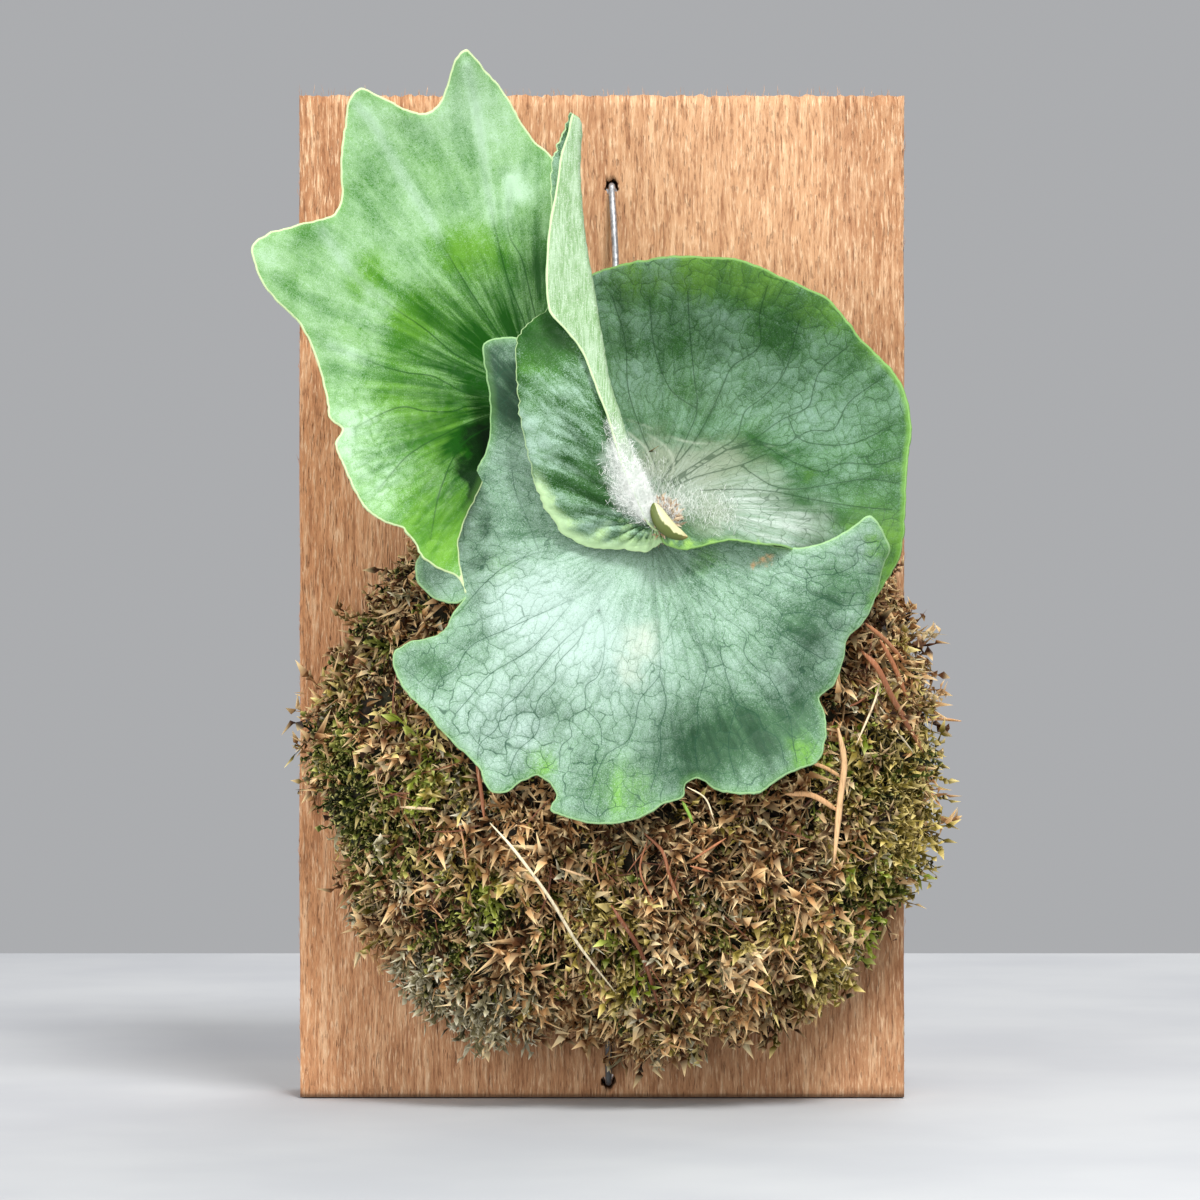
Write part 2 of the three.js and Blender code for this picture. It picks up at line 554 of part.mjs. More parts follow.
// How deep the mound's surface lies at a place seen on the board
function mossDepthAt(x, z, rim) {
  const turn = Math.atan2(z - MOSS_CENTRE.z, x - MOSS_CENTRE.x);
  const share = Math.hypot(x - MOSS_CENTRE.x, z - MOSS_CENTRE.z) / rimReach(turn, rim);
  const angle = Math.asin(Math.min(1, share) ** (1 / MOUND_SPREAD));
  return -mossPoint(turn, angle / (Math.PI / 2), rim).y;
}

// The straws, half sunk along the mound's surface
function straws(rim) {
  return STRAWS.map(({ width, along }) => {
    const path = along.map(([x, z]) => [x, mossDepthAt(x, z, rim) + STRAW_LIFT, z]);
    return rodAlong(path, width, 4, 3 * (along.length - 1));
  });
}

function mossSolid(crownRoom, wireRoom) {
  const rim = rounded(MOSS_RIM, 3).map((p) => p.clone().sub(new THREE.Vector2(MOSS_CENTRE.x, MOSS_CENTRE.z)));
  const parts = [mossMound(rim), ...mossSprigs(rim), ...straws(rim)];
  const dressed = wasm.Manifold.union(parts);
  return mainBody(dressed.subtract(crownRoom).subtract(wireRoom));
}

const crownRoom = crownSolid(GAP);
const wireRoom = rodAlong(wirePath(), WIRE_DIAMETER + 2 * GAP, WIRE_SIDES, WIRE_STEPS);
const solids = {
  board: boardSolid(),
  tie_wire: rodAlong(wirePath(), WIRE_DIAMETER, WIRE_SIDES, WIRE_STEPS),
  moss: mossSolid(crownRoom, wireRoom),
  crown: crownSolid(0),
  bud: budSolid(),
  frond_upright: frond(UPRIGHT_OUTLINE, UPRIGHT_DEPTHS, crownRoom),
  frond_round: frond(ROUND_OUTLINE, ROUND_DEPTHS, crownRoom),
  frond_front: frond(FRONT_OUTLINE, FRONT_DEPTHS, crownRoom),
  frond_folded: foldedFrond(crownRoom),
};

const group = new THREE.Group();
for (const [name, solid] of Object.entries(solids)) {
  const asModelled = geometryFrom(solid);
  const geometry = name === 'board' ? asModelled : inSpace(asModelled);
  const mesh = new THREE.Mesh(geometry, new THREE.MeshStandardMaterial(MATERIALS[name]));
  mesh.name = name;
  group.add(mesh);
}

export default group;
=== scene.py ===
# %% [markdown]
# # A mounted staghorn fern
# The object is an upright rough-sawn board. A root ball wrapped in moss is tied to it by one steel wire,
# and a staghorn fern grows out of the root ball. The construction model holds every piece at its real
# size. This script dresses it: each plain solid gives way to a finer piece of the same form and place.
# Lengths are written in millimetres, as on the workbench, and multiplied by MM on their way into Blender.

# %% Load the construction model
import json
import math
import random

import bpy
import numpy as np
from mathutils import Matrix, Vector, noise
from mathutils.geometry import delaunay_2d_cdt

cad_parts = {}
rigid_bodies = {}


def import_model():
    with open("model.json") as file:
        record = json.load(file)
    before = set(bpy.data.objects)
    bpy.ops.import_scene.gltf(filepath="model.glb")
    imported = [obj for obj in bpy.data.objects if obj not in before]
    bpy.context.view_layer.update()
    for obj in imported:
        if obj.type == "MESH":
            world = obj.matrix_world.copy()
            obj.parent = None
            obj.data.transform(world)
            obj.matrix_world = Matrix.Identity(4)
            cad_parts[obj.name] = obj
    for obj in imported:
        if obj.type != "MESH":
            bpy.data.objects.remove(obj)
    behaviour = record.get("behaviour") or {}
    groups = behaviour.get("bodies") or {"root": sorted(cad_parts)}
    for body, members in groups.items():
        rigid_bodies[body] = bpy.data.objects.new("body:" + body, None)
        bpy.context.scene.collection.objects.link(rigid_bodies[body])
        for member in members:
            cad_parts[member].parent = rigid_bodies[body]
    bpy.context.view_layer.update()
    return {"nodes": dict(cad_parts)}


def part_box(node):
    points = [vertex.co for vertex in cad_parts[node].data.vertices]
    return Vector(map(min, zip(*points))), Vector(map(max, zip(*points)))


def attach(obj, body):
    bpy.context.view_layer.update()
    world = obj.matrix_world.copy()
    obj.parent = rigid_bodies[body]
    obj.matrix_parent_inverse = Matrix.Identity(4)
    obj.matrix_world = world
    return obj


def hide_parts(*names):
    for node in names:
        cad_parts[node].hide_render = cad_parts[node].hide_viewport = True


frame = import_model()
MM = 0.001
BOARD_LOW, BOARD_HIGH = [[value / MM for value in corner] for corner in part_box("board")]
BOARD_THICKNESS = BOARD_HIGH[1] - BOARD_LOW[1]
print("nodes to dress:", ", ".join(sorted(frame["nodes"])))

# %% [markdown]
# ## Camera, floor and light
# A product photograph of an upright board is taken level, from far away, with a long lens, so that the
# board's edges stay parallel. The lens follows from the field that the picture covers at the board's face.
# The light is plain: one light high on the right, a large weak one on the left and a pale world.
# The floor is a plain square, and its far edge is the line behind the board.

# %% Camera
VIEWER_DISTANCE = 1500
VIEWER_X, VIEWER_HEIGHT = -0.6, 151.4
FIELD_WIDTH = 365.5
SENSOR = 36


def laid(name, data):
    """A new object of the scene, at the origin."""
    piece = bpy.data.objects.new(name, data)
    bpy.context.collection.objects.link(piece)
    return piece


camera = laid("camera", bpy.data.cameras.new("camera"))
camera.data.sensor_width = SENSOR
camera.data.lens = SENSOR * VIEWER_DISTANCE / FIELD_WIDTH
camera.location = Vector((VIEWER_X, BOARD_LOW[1] - VIEWER_DISTANCE, VIEWER_HEIGHT)) * MM
camera.rotation_euler = (math.pi / 2, 0, 0)
bpy.context.scene.camera = camera
bpy.context.scene.view_settings.view_transform = "Standard"
print(f"lens {camera.data.lens:.1f} mm")

# %% Lights and world
LIGHTS = [
    {"name": "key", "place": (430, -1250, 1650), "size": 0.5, "power": 39},
    {"name": "fill", "place": (-1000, -1500, 600), "size": 1.6, "power": 25},
    {"name": "back", "place": (500, 1200, 1200), "size": 1.0, "power": 10},
]
LIGHT_AIM = Vector((0, 0, 150)) * MM
SKY_COLOUR = (0.62, 0.63, 0.65, 1)
SKY_STRENGTH = 0.66

for row in LIGHTS:
    lamp = laid(row["name"], bpy.data.lights.new(row["name"], "AREA"))
    lamp.data.energy = row["power"]
    lamp.data.size = row["size"]
    lamp.location = Vector(row["place"]) * MM
    lamp.rotation_euler = (LIGHT_AIM - lamp.location).to_track_quat("-Z", "Y").to_euler()

world = bpy.data.worlds.new("studio")
world.use_nodes = True
sky = world.node_tree.nodes["Background"]
sky.inputs["Color"].default_value = SKY_COLOUR
sky.inputs["Strength"].default_value = SKY_STRENGTH
bpy.context.scene.world = world
print(len(LIGHTS), "lights")

# %% [markdown]
# ## Writing node trees as sums
# Shader and geometry nodes do plain arithmetic. The class Value wraps one output socket and overloads the
# operators, so that `1 - mask` or `vein * 0.5` adds the Math node for it. Tree.node adds every other node:
# its settings are set first, then each input gets a value or a link. The nodes that many trees need have
# short methods of their own. Colours are written as the 0 to 255 values that a screen shows.

# %% One value of a node tree
class Value:
    """One output socket of a node tree."""

    def __init__(self, tree, socket):
        self.tree = tree
        self.socket = socket

    def maths(self, operation, *values):
        return self.tree.node("ShaderNodeMath", {"operation": operation}, values)

    def __add__(self, other):
        return self.maths("ADD", self, other)

    __radd__ = __add__

    def __sub__(self, other):
        return self.maths("SUBTRACT", self, other)

    def __rsub__(self, other):
        return self.maths("SUBTRACT", other, self)

    def __mul__(self, other):
        return self.maths("MULTIPLY", self, other)

    __rmul__ = __mul__

    def __truediv__(self, other):
        return self.maths("DIVIDE", self, other)

    def most(self, other):
        return self.maths("MAXIMUM", self, other)

    def least(self, other):
        return self.maths("MINIMUM", self, other)

    def ease(self, low, high):
        """0 at low and 1 at high, with a soft start and end. low may be above high."""
        settings = {"interpolation_type": "SMOOTHSTEP"}
        if low < high:
            return self.tree.node("ShaderNodeMapRange", settings, (self, low, high, 0.0, 1.0))
        return self.tree.node("ShaderNodeMapRange", settings, (self, high, low, 1.0, 0.0))


# %% A node tree
def paint(colour):
    """A linear colour from the three 0 to 255 values that a screen shows. Any other value stays as it is."""
    if not isinstance(colour, tuple) or len(colour) != 3:
        return colour
    shares = [c / 255 for c in colour]
    return (*[s / 12.92 if s <= 0.04045 else ((s + 0.055) / 1.055) ** 2.4 for s in shares], 1.0)


class Tree:
    """A node tree that is written one node at a time."""

    def __init__(self, tree):
        self.tree = tree

    def node(self, kind, settings=None, inputs=(), out=0):
        made = self.tree.nodes.new(kind)
        for name, value in (settings or {}).items():
            if name == "stops":
                self.set_stops(made.color_ramp.elements, value)
            else:
                setattr(made, name, value)
        pairs = inputs.items() if isinstance(inputs, dict) else enumerate(inputs)
        for key, value in pairs:
            self.feed(made, key, value)
        return Value(self, made.outputs[out]) if len(made.outputs) else made

    @staticmethod
    def set_stops(elements, stops):
        while len(elements) < len(stops):
            elements.new(1)
        for element, (place, colour) in zip(elements, stops):
            element.position = place
            element.color = paint(colour)

    def feed(self, node, key, value):
        socket = node.inputs[key]
        if isinstance(value, Value):
            self.tree.links.new(value.socket, socket)
        else:
            socket.default_value = value

    def vector(self, operation, *values):
        out = 1 if operation == "DISTANCE" else 0
        return self.node("ShaderNodeVectorMath", {"operation": operation}, values, out)

    def stretch(self, place, factors):
        return self.vector("MULTIPLY", place, factors)

    def centred(self, noise_colour):
        """A noise's colour as a vector that is 0 on average."""
        return self.vector("SUBTRACT", noise_colour, (0.5, 0.5, 0.5))

    def scaled(self, vector, factor):
        return self.node("ShaderNodeVectorMath", {"operation": "SCALE"}, {0: vector, 3: factor})

    def split(self, place, axes):
        return [self.node("ShaderNodeSeparateXYZ", {}, (place,), axis) for axis in axes]

    def noise(self, place, scale, detail=2.0, roughness=0.5, out=0):
        sockets = {"Vector": place, "Scale": scale, "Detail": detail, "Roughness": roughness}
        return self.node("ShaderNodeTexNoise", {}, sockets, out)

    def streaks(self, place, scales, detail=2.0, roughness=0.5):
        """Noise with a scale of its own along each axis."""
        return self.noise(self.stretch(place, scales), 1.0, detail, roughness)

    def mix(self, share, under, over):
        sockets = {0: share, 6: paint(under), 7: paint(over)}
        return self.node("ShaderNodeMix", {"data_type": "RGBA"}, sockets, 2)

    def layered(self, colour, *coats):
        """A colour under coats of other colours, each with the share that it hides."""
        for share, coat in coats:
            colour = self.mix(share, colour, coat)
        return colour

    def attribute(self, name):
        return self.node("ShaderNodeAttribute", {"attribute_name": name}, (), 2)


# %% [markdown]
# ## Two kinds of tree
# A finish is a material. Its patterns read each point's place on the object, and one Principled BSDF takes
# its colour, roughness and bump. A growth is a geometry tree for what repeats or follows a path or a
# surface: named inputs for its sizes, Realize Instances and Set Material at its end.

# %% Finishes
class Finish(Tree):
    """The node tree of a new material."""

    def __init__(self, name):
        self.material = bpy.data.materials.new(name)
        self.material.use_nodes = True
        super().__init__(self.material.node_tree)
        self.shader = self.tree.nodes["Principled BSDF"]
        self.place = self.node("ShaderNodeTexCoord", {}, (), "Object")

    def done(self, colour, roughness, bump=None):
        """Feeds the shader and returns the material. A bump is its strength, its depth in millimetres and
        its height."""
        self.feed(self.shader, "Base Color", colour)
        self.feed(self.shader, "Roughness", roughness)
        if bump:
            strength, depth, height = bump
            sockets = {"Strength": strength, "Distance": depth * MM, "Height": height}
            self.feed(self.shader, "Normal", self.node("ShaderNodeBump", {}, sockets))
        return self.material


# %% Growths
class Growth(Tree):
    """A new geometry tree. Its inputs are named with their kinds, after Geometry and before Material."""

    def __init__(self, name, **inputs):
        super().__init__(bpy.data.node_groups.new(name, "GeometryNodeTree"))
        interface = self.tree.interface
        interface.new_socket("Geometry", in_out="OUTPUT", socket_type="NodeSocketGeometry")
        inputs = {"Geometry": "Geometry", **inputs, "Material": "Material"}
        for word, kind in inputs.items():
            interface.new_socket(word, in_out="INPUT", socket_type="NodeSocket" + kind)
        source = self.tree.nodes.new("NodeGroupInput")
        *self.given, self.material = [Value(self, source.outputs[word]) for word in inputs]

    def stored(self, name, kind="FLOAT"):
        """What is stored on the points under a name."""
        return self.node("GeometryNodeInputNamedAttribute", {"data_type": kind}, {"Name": name})

    def drawn(self, low, high, seed):
        """A random number for each point."""
        return self.node("FunctionNodeRandomValue", {"data_type": "FLOAT"}, {2: low, 3: high, 8: seed}, 1)

    def done(self, geometry):
        real = self.node("GeometryNodeRealizeInstances", {}, (geometry,))
        sockets = {"Geometry": real, "Material": self.material}
        self.node("NodeGroupOutput", {}, (self.node("GeometryNodeSetMaterial", {}, sockets),))
        return self.tree


def grown(name, ground, tree, **sizes):
    """Runs a geometry tree on the mesh of an object and returns the result as a plain mesh object."""
    base = laid(name + "_ground", ground.data)
    modifier = base.modifiers.new(name, "NODES")
    modifier.node_group = tree
    for item in tree.interface.items_tree:
        if item.in_out == "INPUT" and item.name in sizes:
            modifier[item.identifier] = sizes[item.name]
    seen = base.evaluated_get(bpy.context.evaluated_depsgraph_get())
    mesh = bpy.data.meshes.new_from_object(seen)
    base.modifiers.remove(modifier)
    bpy.data.objects.remove(base)
    mesh.name = name
    return laid(name, mesh)


# %% Meshes
def mesh_piece(name, points, faces, material, smooth=True):
    """A mesh object at the origin, with points in millimetres."""
    mesh = bpy.data.meshes.new(name)
    mesh.from_pydata(np.asarray(points, float) * MM, [], faces)
    mesh.polygons.foreach_set("use_smooth", [smooth] * len(mesh.polygons))
    mesh.materials.append(material)
    mesh.validate()
    return laid(name, mesh)


def shell_faces(rings, sides, turned=False):
    """The faces of a closed shell: a first point, rings of points round it, and a last point. They are
    turned over where the rings run the other way round."""
    last = rings * sides + 1
    faces = []
    for j in range(sides):
        k = (j + 1) % sides
        faces += [(0, 1 + j, 1 + k), (last, last - sides + k, last - sides + j)]
        for i in range(rings - 1):
            a, b = 1 + i * sides, 1 + (i + 1) * sides
            faces.append((a + j, b + j, b + k, a + k))
    return [(face[0], *face[:0:-1]) for face in faces] if turned else faces


def store(mesh, name, values):
    """Stores a number on each point of a mesh, for finishes and growths to read."""
    mesh.attributes.new(name, "FLOAT", "POINT").data.foreach_set("value", np.asarray(values, np.float32))


def seat(piece, slot, *nodes):
    """Fixes a finished piece to the object's one body and hides the construction parts that it stands for.
    The slot is not used.
    """
    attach(piece, "root")
    if nodes:
        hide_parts(*nodes)
    piece.data.calc_loop_triangles()
    print(f"{piece.name}: {len(piece.data.loop_triangles)} triangles")


# %% Floor
FLOOR_SIDE = 1200
FLOOR_AHEAD = 400
FLOOR_DROP = 0.4


def floor_finish():
    t = Finish("pale_floor")
    cloud = t.noise(t.place, 9.0, 4.0)
    return t.done(t.mix(cloud.ease(0.3, 0.7), (0.47, 0.48, 0.5, 1), (0.53, 0.54, 0.55, 1)), 0.75)


half = FLOOR_SIDE / 2
corners = [(x, y, -FLOOR_DROP) for x, y in
           ((-half, -half - FLOOR_AHEAD), (half, -half - FLOOR_AHEAD), (half, half), (-half, half))]
floor = mesh_piece("floor", corners, [(0, 1, 2, 3)], floor_finish(), smooth=False)
print("floor laid")

# %% [markdown]
# ## The board
# The board is rough-sawn softwood: orange-tan, with the grain upright, a fuzz of torn fibres all over and
# splintered ends. A shell of quads takes a low relief of long ridges from a stretched noise, the two wire
# holes are cut with ragged cutters, and a Geometry Nodes scatter adds the torn fibres as real slivers.
# The finish repeats the same stretched noise at three scales: broad bands, streaks and short pores.

# %% Wood finish
def wood_finish():
    t = Finish("rough_sawn_wood")
    x, z = [part / MM for part in t.split(t.place, "XZ")]
    sway = t.noise(t.stretch(t.place, (60, 60, 40)), 1.0, 2.0, 0.5, 1)
    wavy = t.vector("ADD", t.place, t.stretch(sway, (2 * MM, 2 * MM, 0)))
    broad = t.streaks(t.place, (11, 11, 2.4))
    band = t.streaks(wavy, (36, 36, 2), 3, 0.55)
    streak = t.streaks(wavy, (520, 520, 44), 4, 0.65)
    fibre = t.streaks(wavy, (1700, 1700, 190), 3, 0.65)
    pore = t.streaks(wavy, (1500, 1500, 230), 1)
    upper_right = z.ease(120, 260) * (x - 12).ease(-60, 40) * (x - 50).ease(60, 10)
    edges = (x.ease(62, 82) + x.ease(-62, -84) * z.ease(210, 280)).least(1.0)
    seam = x + band * 8 - 80
    tan = t.mix(broad.ease(0.3, 0.7), (184, 132, 92), (198, 148, 106))
    tan = t.layered(
        tan,
        (upper_right * 0.75, (212, 165, 124)),
        (band.ease(0.42, 0.66) * 0.45, (200, 152, 110)),
        (x.ease(-55, -92) * z.ease(290, 180) * 0.5, (214, 148, 98)),
        (edges * 0.55, (168, 116, 78)),
        (seam.maths("ABSOLUTE", seam).ease(5, 1) * 0.4, (176, 126, 90)),
        (z.ease(60, 10) * 0.35, (200, 146, 104)),
        (streak.ease(0.5, 0.7) * 0.5, (244, 206, 164)),
        (streak.ease(0.5, 0.32) * 0.6, (146, 94, 58)),
        (fibre.ease(0.52, 0.68) * 0.6, (246, 212, 172)),
        (fibre.ease(0.46, 0.3) * 0.66, (128, 80, 48)),
        (pore.ease(0.66, 0.76) * 0.3, (112, 68, 42)),
        # painted shade: the board's foot darkens where it stands on the floor
        (z.ease(1.4, 0.4) * 0.6, (90, 62, 44)),
    )
    height = streak * 0.6 + fibre * 0.8 - pore.ease(0.62, 0.75) * 0.5
    return t.done(tan, 0.82 + streak * 0.13, (0.9, 0.7, height))


wood = wood_finish()
print("wood finish made")

# %% The board's shell
BOARD_STEPS = (190, 10, 90)
GRAIN_RELIEF = 0.22
END_RELIEF = 0.7


def block_shell(counts, low, high):
    """A box as a closed shell of quads with its own number of steps along each axis."""
    steps = [np.linspace(a, b, n + 1) for a, b, n in zip(low, high, counts)]
    index, points, faces = {}, [], []
    for axis in range(3):
        u, v = (axis + 1) % 3, (axis + 2) % 3
        for side in (0, counts[axis]):
            for a in range(counts[u]):
                for b in range(counts[v]):
                    quad = []
                    for da, db in ((0, 0), (1, 0), (1, 1), (0, 1)):
                        at = [0, 0, 0]
                        at[axis], at[u], at[v] = side, a + da, b + db
                        key = tuple(at)
                        if key not in index:
                            index[key] = len(points)
                            points.append([steps[k][key[k]] for k in range(3)])
                        quad.append(index[key])
                    faces.append(quad if side else quad[::-1])
    return np.array(points), faces


def grain(x, y, z):
    """Long low ridges that run up the board."""
    return noise.noise((x / 1.6, y / 1.6, z / 22)) + 0.6 * noise.noise((x / 5, y / 5, z / 60))


def splinters(x, y):
    """The short broken fibres of a sawn end."""
    return noise.noise((x / 2.2, y / 2.2, 5)) + 0.6 * noise.noise((x / 0.9, y / 0.9, 9))


points, faces = block_shell(BOARD_STEPS, BOARD_LOW, BOARD_HIGH)
for point in points:
    x, y, z = point
    rough = GRAIN_RELIEF * grain(x, y, z)
    for axis in (0, 1):
        if point[axis] in (BOARD_LOW[axis], BOARD_HIGH[axis]):
            point[axis] += rough if point[axis] > 0 else -rough
    if z == BOARD_HIGH[2]:
        point[2] += END_RELIEF * splinters(x, y)
board = mesh_piece("board_wood", points, faces, wood)
print(f"board {BOARD_HIGH[0] - BOARD_LOW[0]:.0f} mm wide")

# %% The wire's holes and grooves in the board
HOLES = {"upper": (3, 277.5), "lower": (2, 4.5)}
HOLE_RADIUS = 1.9
HOLE_SIDES = 18
GROOVE = {"width": 3.4, "depth": 2.8, "length": 16}
CUT_PAST = 3


def ragged_cutter(hole, seed):
    """A prism with a torn outline, to cut a wire hole through the board."""
    draw = random.Random(seed)
    ring = []
    for i in range(HOLE_SIDES):
        turn = 2 * math.pi * i / HOLE_SIDES
        reach = HOLE_RADIUS * (0.85 + 0.5 * draw.random())
        ring.append((hole[0] + reach * math.cos(turn), hole[1] + 1.15 * reach * math.sin(turn)))
    ends = (BOARD_LOW[1] - CUT_PAST, BOARD_HIGH[1] + CUT_PAST)
    near = list(range(HOLE_SIDES))
    far = [i + HOLE_SIDES for i in near]
    sides = [(i, far[i], far[(i + 1) % HOLE_SIDES], (i + 1) % HOLE_SIDES) for i in near]
    return mesh_piece("cutter", [(x, y, z) for y in ends for x, z in ring], [*sides, near, far[::-1]], wood)


def groove_cutter(hole, way):
    """A block that cuts the groove for the wire's turned-over end in the board's back."""
    x, z = hole
    end = z + way * GROOVE["length"]
    low = (x - GROOVE["width"] / 2, BOARD_HIGH[1] - GROOVE["depth"], min(z, end))
    high = (x + GROOVE["width"] / 2, BOARD_HIGH[1] + CUT_PAST, max(z, end))
    return mesh_piece("cutter", *block_shell((1, 1, 1), low, high), wood)


cutters = [
    ragged_cutter(HOLES["upper"], 3), ragged_cutter(HOLES["lower"], 5),
    groove_cutter(HOLES["upper"], -1), groove_cutter(HOLES["lower"], 1),
]
for cutter in cutters:
    cut = board.modifiers.new("cut", "BOOLEAN")
    cut.operation = "DIFFERENCE"
    cut.solver = "MANIFOLD"
    cut.object = cutter
board_cut = board.evaluated_get(bpy.context.evaluated_depsgraph_get())
cut_mesh = bpy.data.meshes.new_from_object(board_cut)
board.modifiers.clear()
board.data = cut_mesh
for cutter in cutters:
    bpy.data.objects.remove(cutter)
seat(board, "rough_wood", "board")

# %% [markdown]
# ## The tie wire
# One galvanised wire goes in at the upper hole, down over the root ball inside the moss and out at the
# lower hole, and both ends are turned over in grooves in the board's back. A path of given points
# becomes a smooth curve, and a small Geometry Nodes tree sweeps a round section along it.

# %% Paths
SIGHT_HEIGHT = 151.5


def through(path, steps, closed=False):
    """Points on a smooth curve through a path. Each stretch takes its own length into account, so that
    close points make tight bends."""
    p = np.asarray(path, float)
    count = len(p)
    before = p[-1] if closed else 2 * p[0] - p[1]
    after = [p[0], p[1]] if closed else [2 * p[-1] - p[-2]]
    q = np.vstack([before, p, *after])
    t = np.linspace(0, 1, steps, endpoint=False)[:, None]
    made = []
    for i in range(count if closed else count - 1):
        a, b, c, d = q[i:i + 4]
        gaps = [max(math.sqrt(math.dist(*pair)), 1e-4) for pair in ((a, b), (b, c), (c, d))]
        start = (b - a) / gaps[0] - (c - a) / (gaps[0] + gaps[1]) + (c - b) / gaps[1]
        end = (c - b) / gaps[1] - (d - b) / (gaps[1] + gaps[2]) + (d - c) / gaps[2]
        start, end = start * gaps[1], end * gaps[1]
        square = 3 * (c - b) - 2 * start - end
        cube = 2 * (b - c) + start + end
        made.append(b + start * t + square * t ** 2 + cube * t ** 3)
    return np.vstack(made if closed else [*made, p[-1:]])


def in_space(points):
    """Real places of points that are given as x, depth and z, as they are seen against the board's face:
    a point in front of the board is drawn in towards the line of sight."""
    x, depth, z = np.transpose(points)
    pull = 1 - np.maximum(depth, 0) / VIEWER_DISTANCE
    height = SIGHT_HEIGHT + (z - SIGHT_HEIGHT) * pull
    return np.column_stack([x * pull, -depth - BOARD_THICKNESS / 2, height])


print("line of sight", SIGHT_HEIGHT, "mm up")


# %% Sweeping a round section along a path
def sweep_tree():
    t = Growth("sweep", Radius="Float", Sides="Int")
    along, radius, sides = t.given
    line = t.node("GeometryNodeMeshToCurve", {}, (along,))
    section = t.node("GeometryNodeCurvePrimitiveCircle", {}, {"Resolution": sides, "Radius": radius})
    sockets = {"Curve": line, "Profile Curve": section, "Fill Caps": True}
    tube = t.node("GeometryNodeCurveToMesh", {}, sockets)
    return t.done(t.node("GeometryNodeSetShadeSmooth", {}, (tube,)))


def swept(name, path, radius, material, sides):
    """A round rod along a path of points in millimetres."""
    mesh = bpy.data.meshes.new(name)
    mesh.from_pydata(path * MM, [(i, i + 1) for i in range(len(path) - 1)], [])
    line = bpy.data.objects.new(name + "_line", mesh)
    made = grown(name, line, sweep_tree(), Radius=radius * MM, Sides=sides, Material=material)
    bpy.data.objects.remove(line)
    return made


# %% Wire finish and wire
WIRE_DIAMETER = 2
WIRE_SIDES = 14
WIRE_SUNK = BOARD_THICKNESS - GROOVE["depth"] + WIRE_DIAMETER / 2 + 0.3


def wire_finish():
    t = Finish("galvanised_wire")
    height = t.split(t.place, "Z")[0] / MM
    spangle = t.noise(t.place, 700.0, 3.0)
    grime = t.streaks(t.place, (400.0, 400.0, 60.0), 3.0)
    dirty = grime.ease(0.5, 0.7)
    grey = t.mix(spangle.ease(0.35, 0.65), (150, 153, 156), (196, 198, 200))
    grey = t.layered(grey, (dirty * 0.6, (84, 82, 80)), (height.ease(40, 20) * 0.75, (74, 78, 82)))
    t.feed(t.shader, "Metallic", 0.85 - dirty * 0.5)
    return t.done(grey, 0.38 + spangle * 0.25, (0.3, 0.2, grime))


def turned_over(hole, way):
    """The wire's end: a groove in the back, a tight bend, the hole and the bend in front."""
    x, z = hole
    end = GROOVE["length"] - WIRE_DIAMETER
    return [
        (x, -WIRE_SUNK, z + way * end), (x, -WIRE_SUNK, z + way * 6), (x, -WIRE_SUNK, z + way * 2),
        (x, 0.45 - WIRE_SUNK, z + way * 0.4), (x, 1.7 - WIRE_SUNK, z), (x, -15, z), (x, -1, z), (x, 0.3, z),
        (x, 1.25, z + way * 0.4), (x, 1.7, z + way * 2),
    ]


WIRE_OVER = [  # x, depth and z
    (3.6, 5, 266), (4.2, 9, 252.5), (4, 13, 230), (4, 19, 205), (4, 28, 180), (3.5, 36, 140),
    (3, 36, 100), (2.5, 26, 60), (2, 12, 34), (2, 4.5, 18),
]
wire_ends = turned_over(HOLES["upper"], -1), turned_over(HOLES["lower"], 1)[::-1]
wire_path = through([*wire_ends[0], *WIRE_OVER, *wire_ends[1]], 8)
wire = swept("tie_wire_steel", in_space(wire_path), WIRE_DIAMETER / 2, wire_finish(), WIRE_SIDES)
seat(wire, "wire", "tie_wire")

# %% [markdown]
# ## The fronds
# Each open frond is one bent sheet. Its outline is drawn flat, as the camera sees it, and its depth comes
# from a few measured points joined by a thin-plate surface, which bends as little as it can. The sheet is
# triangulated inside the outline with the main veins as fixed edges, so that every vein is a sharp line
# in the mesh: its distance is stored on the points and the finish reads it back. Then a Geometry Nodes
# tree swells the small cells between the fine veins, from the very texture that the finish draws them with.

# %% Outlines and depths
# In millimetres, as seen against the board. An outline point is x and z, a depth point x, z and depth.
UPRIGHT_OUTLINE = [
    (-41.5, 319), (-44.5, 316), (-48, 305.5), (-51, 301), (-54, 299.5), (-60.5, 301), (-68, 305),
    (-74, 307), (-77, 303.5), (-78, 297), (-79.5, 286), (-79.5, 273), (-82, 268.5), (-87, 267),
    (-96.5, 264.5), (-102.5, 262.5), (-106.5, 259), (-105.5, 253), (-102.5, 246.5), (-97, 240.5),
    (-92, 235.5), (-87, 225), (-83.5, 211.5), (-83, 207), (-79, 203.5), (-81, 199), (-79, 193),
    (-75, 184.5), (-72, 179.5), (-66.5, 175.5), (-61, 173.5), (-57.5, 169.5), (-54, 164),
    (-49.5, 161), (-44, 158.5), (-41.5, 153.5), (-43, 160), (-44, 168), (-42.5, 174.5), (-38, 184),
    (-34, 191), (-29, 194), (-14, 188), (4, 177), (17, 170), (17, 177), (4, 184), (-6, 200),
    (-11, 218.5), (-14, 237), (-14.5, 258), (-14.5, 276), (-15, 285.5), (-19.5, 290), (-23, 294),
    (-26, 299), (-28, 303), (-31.5, 308), (-35.5, 312.5), (-40, 318),
]
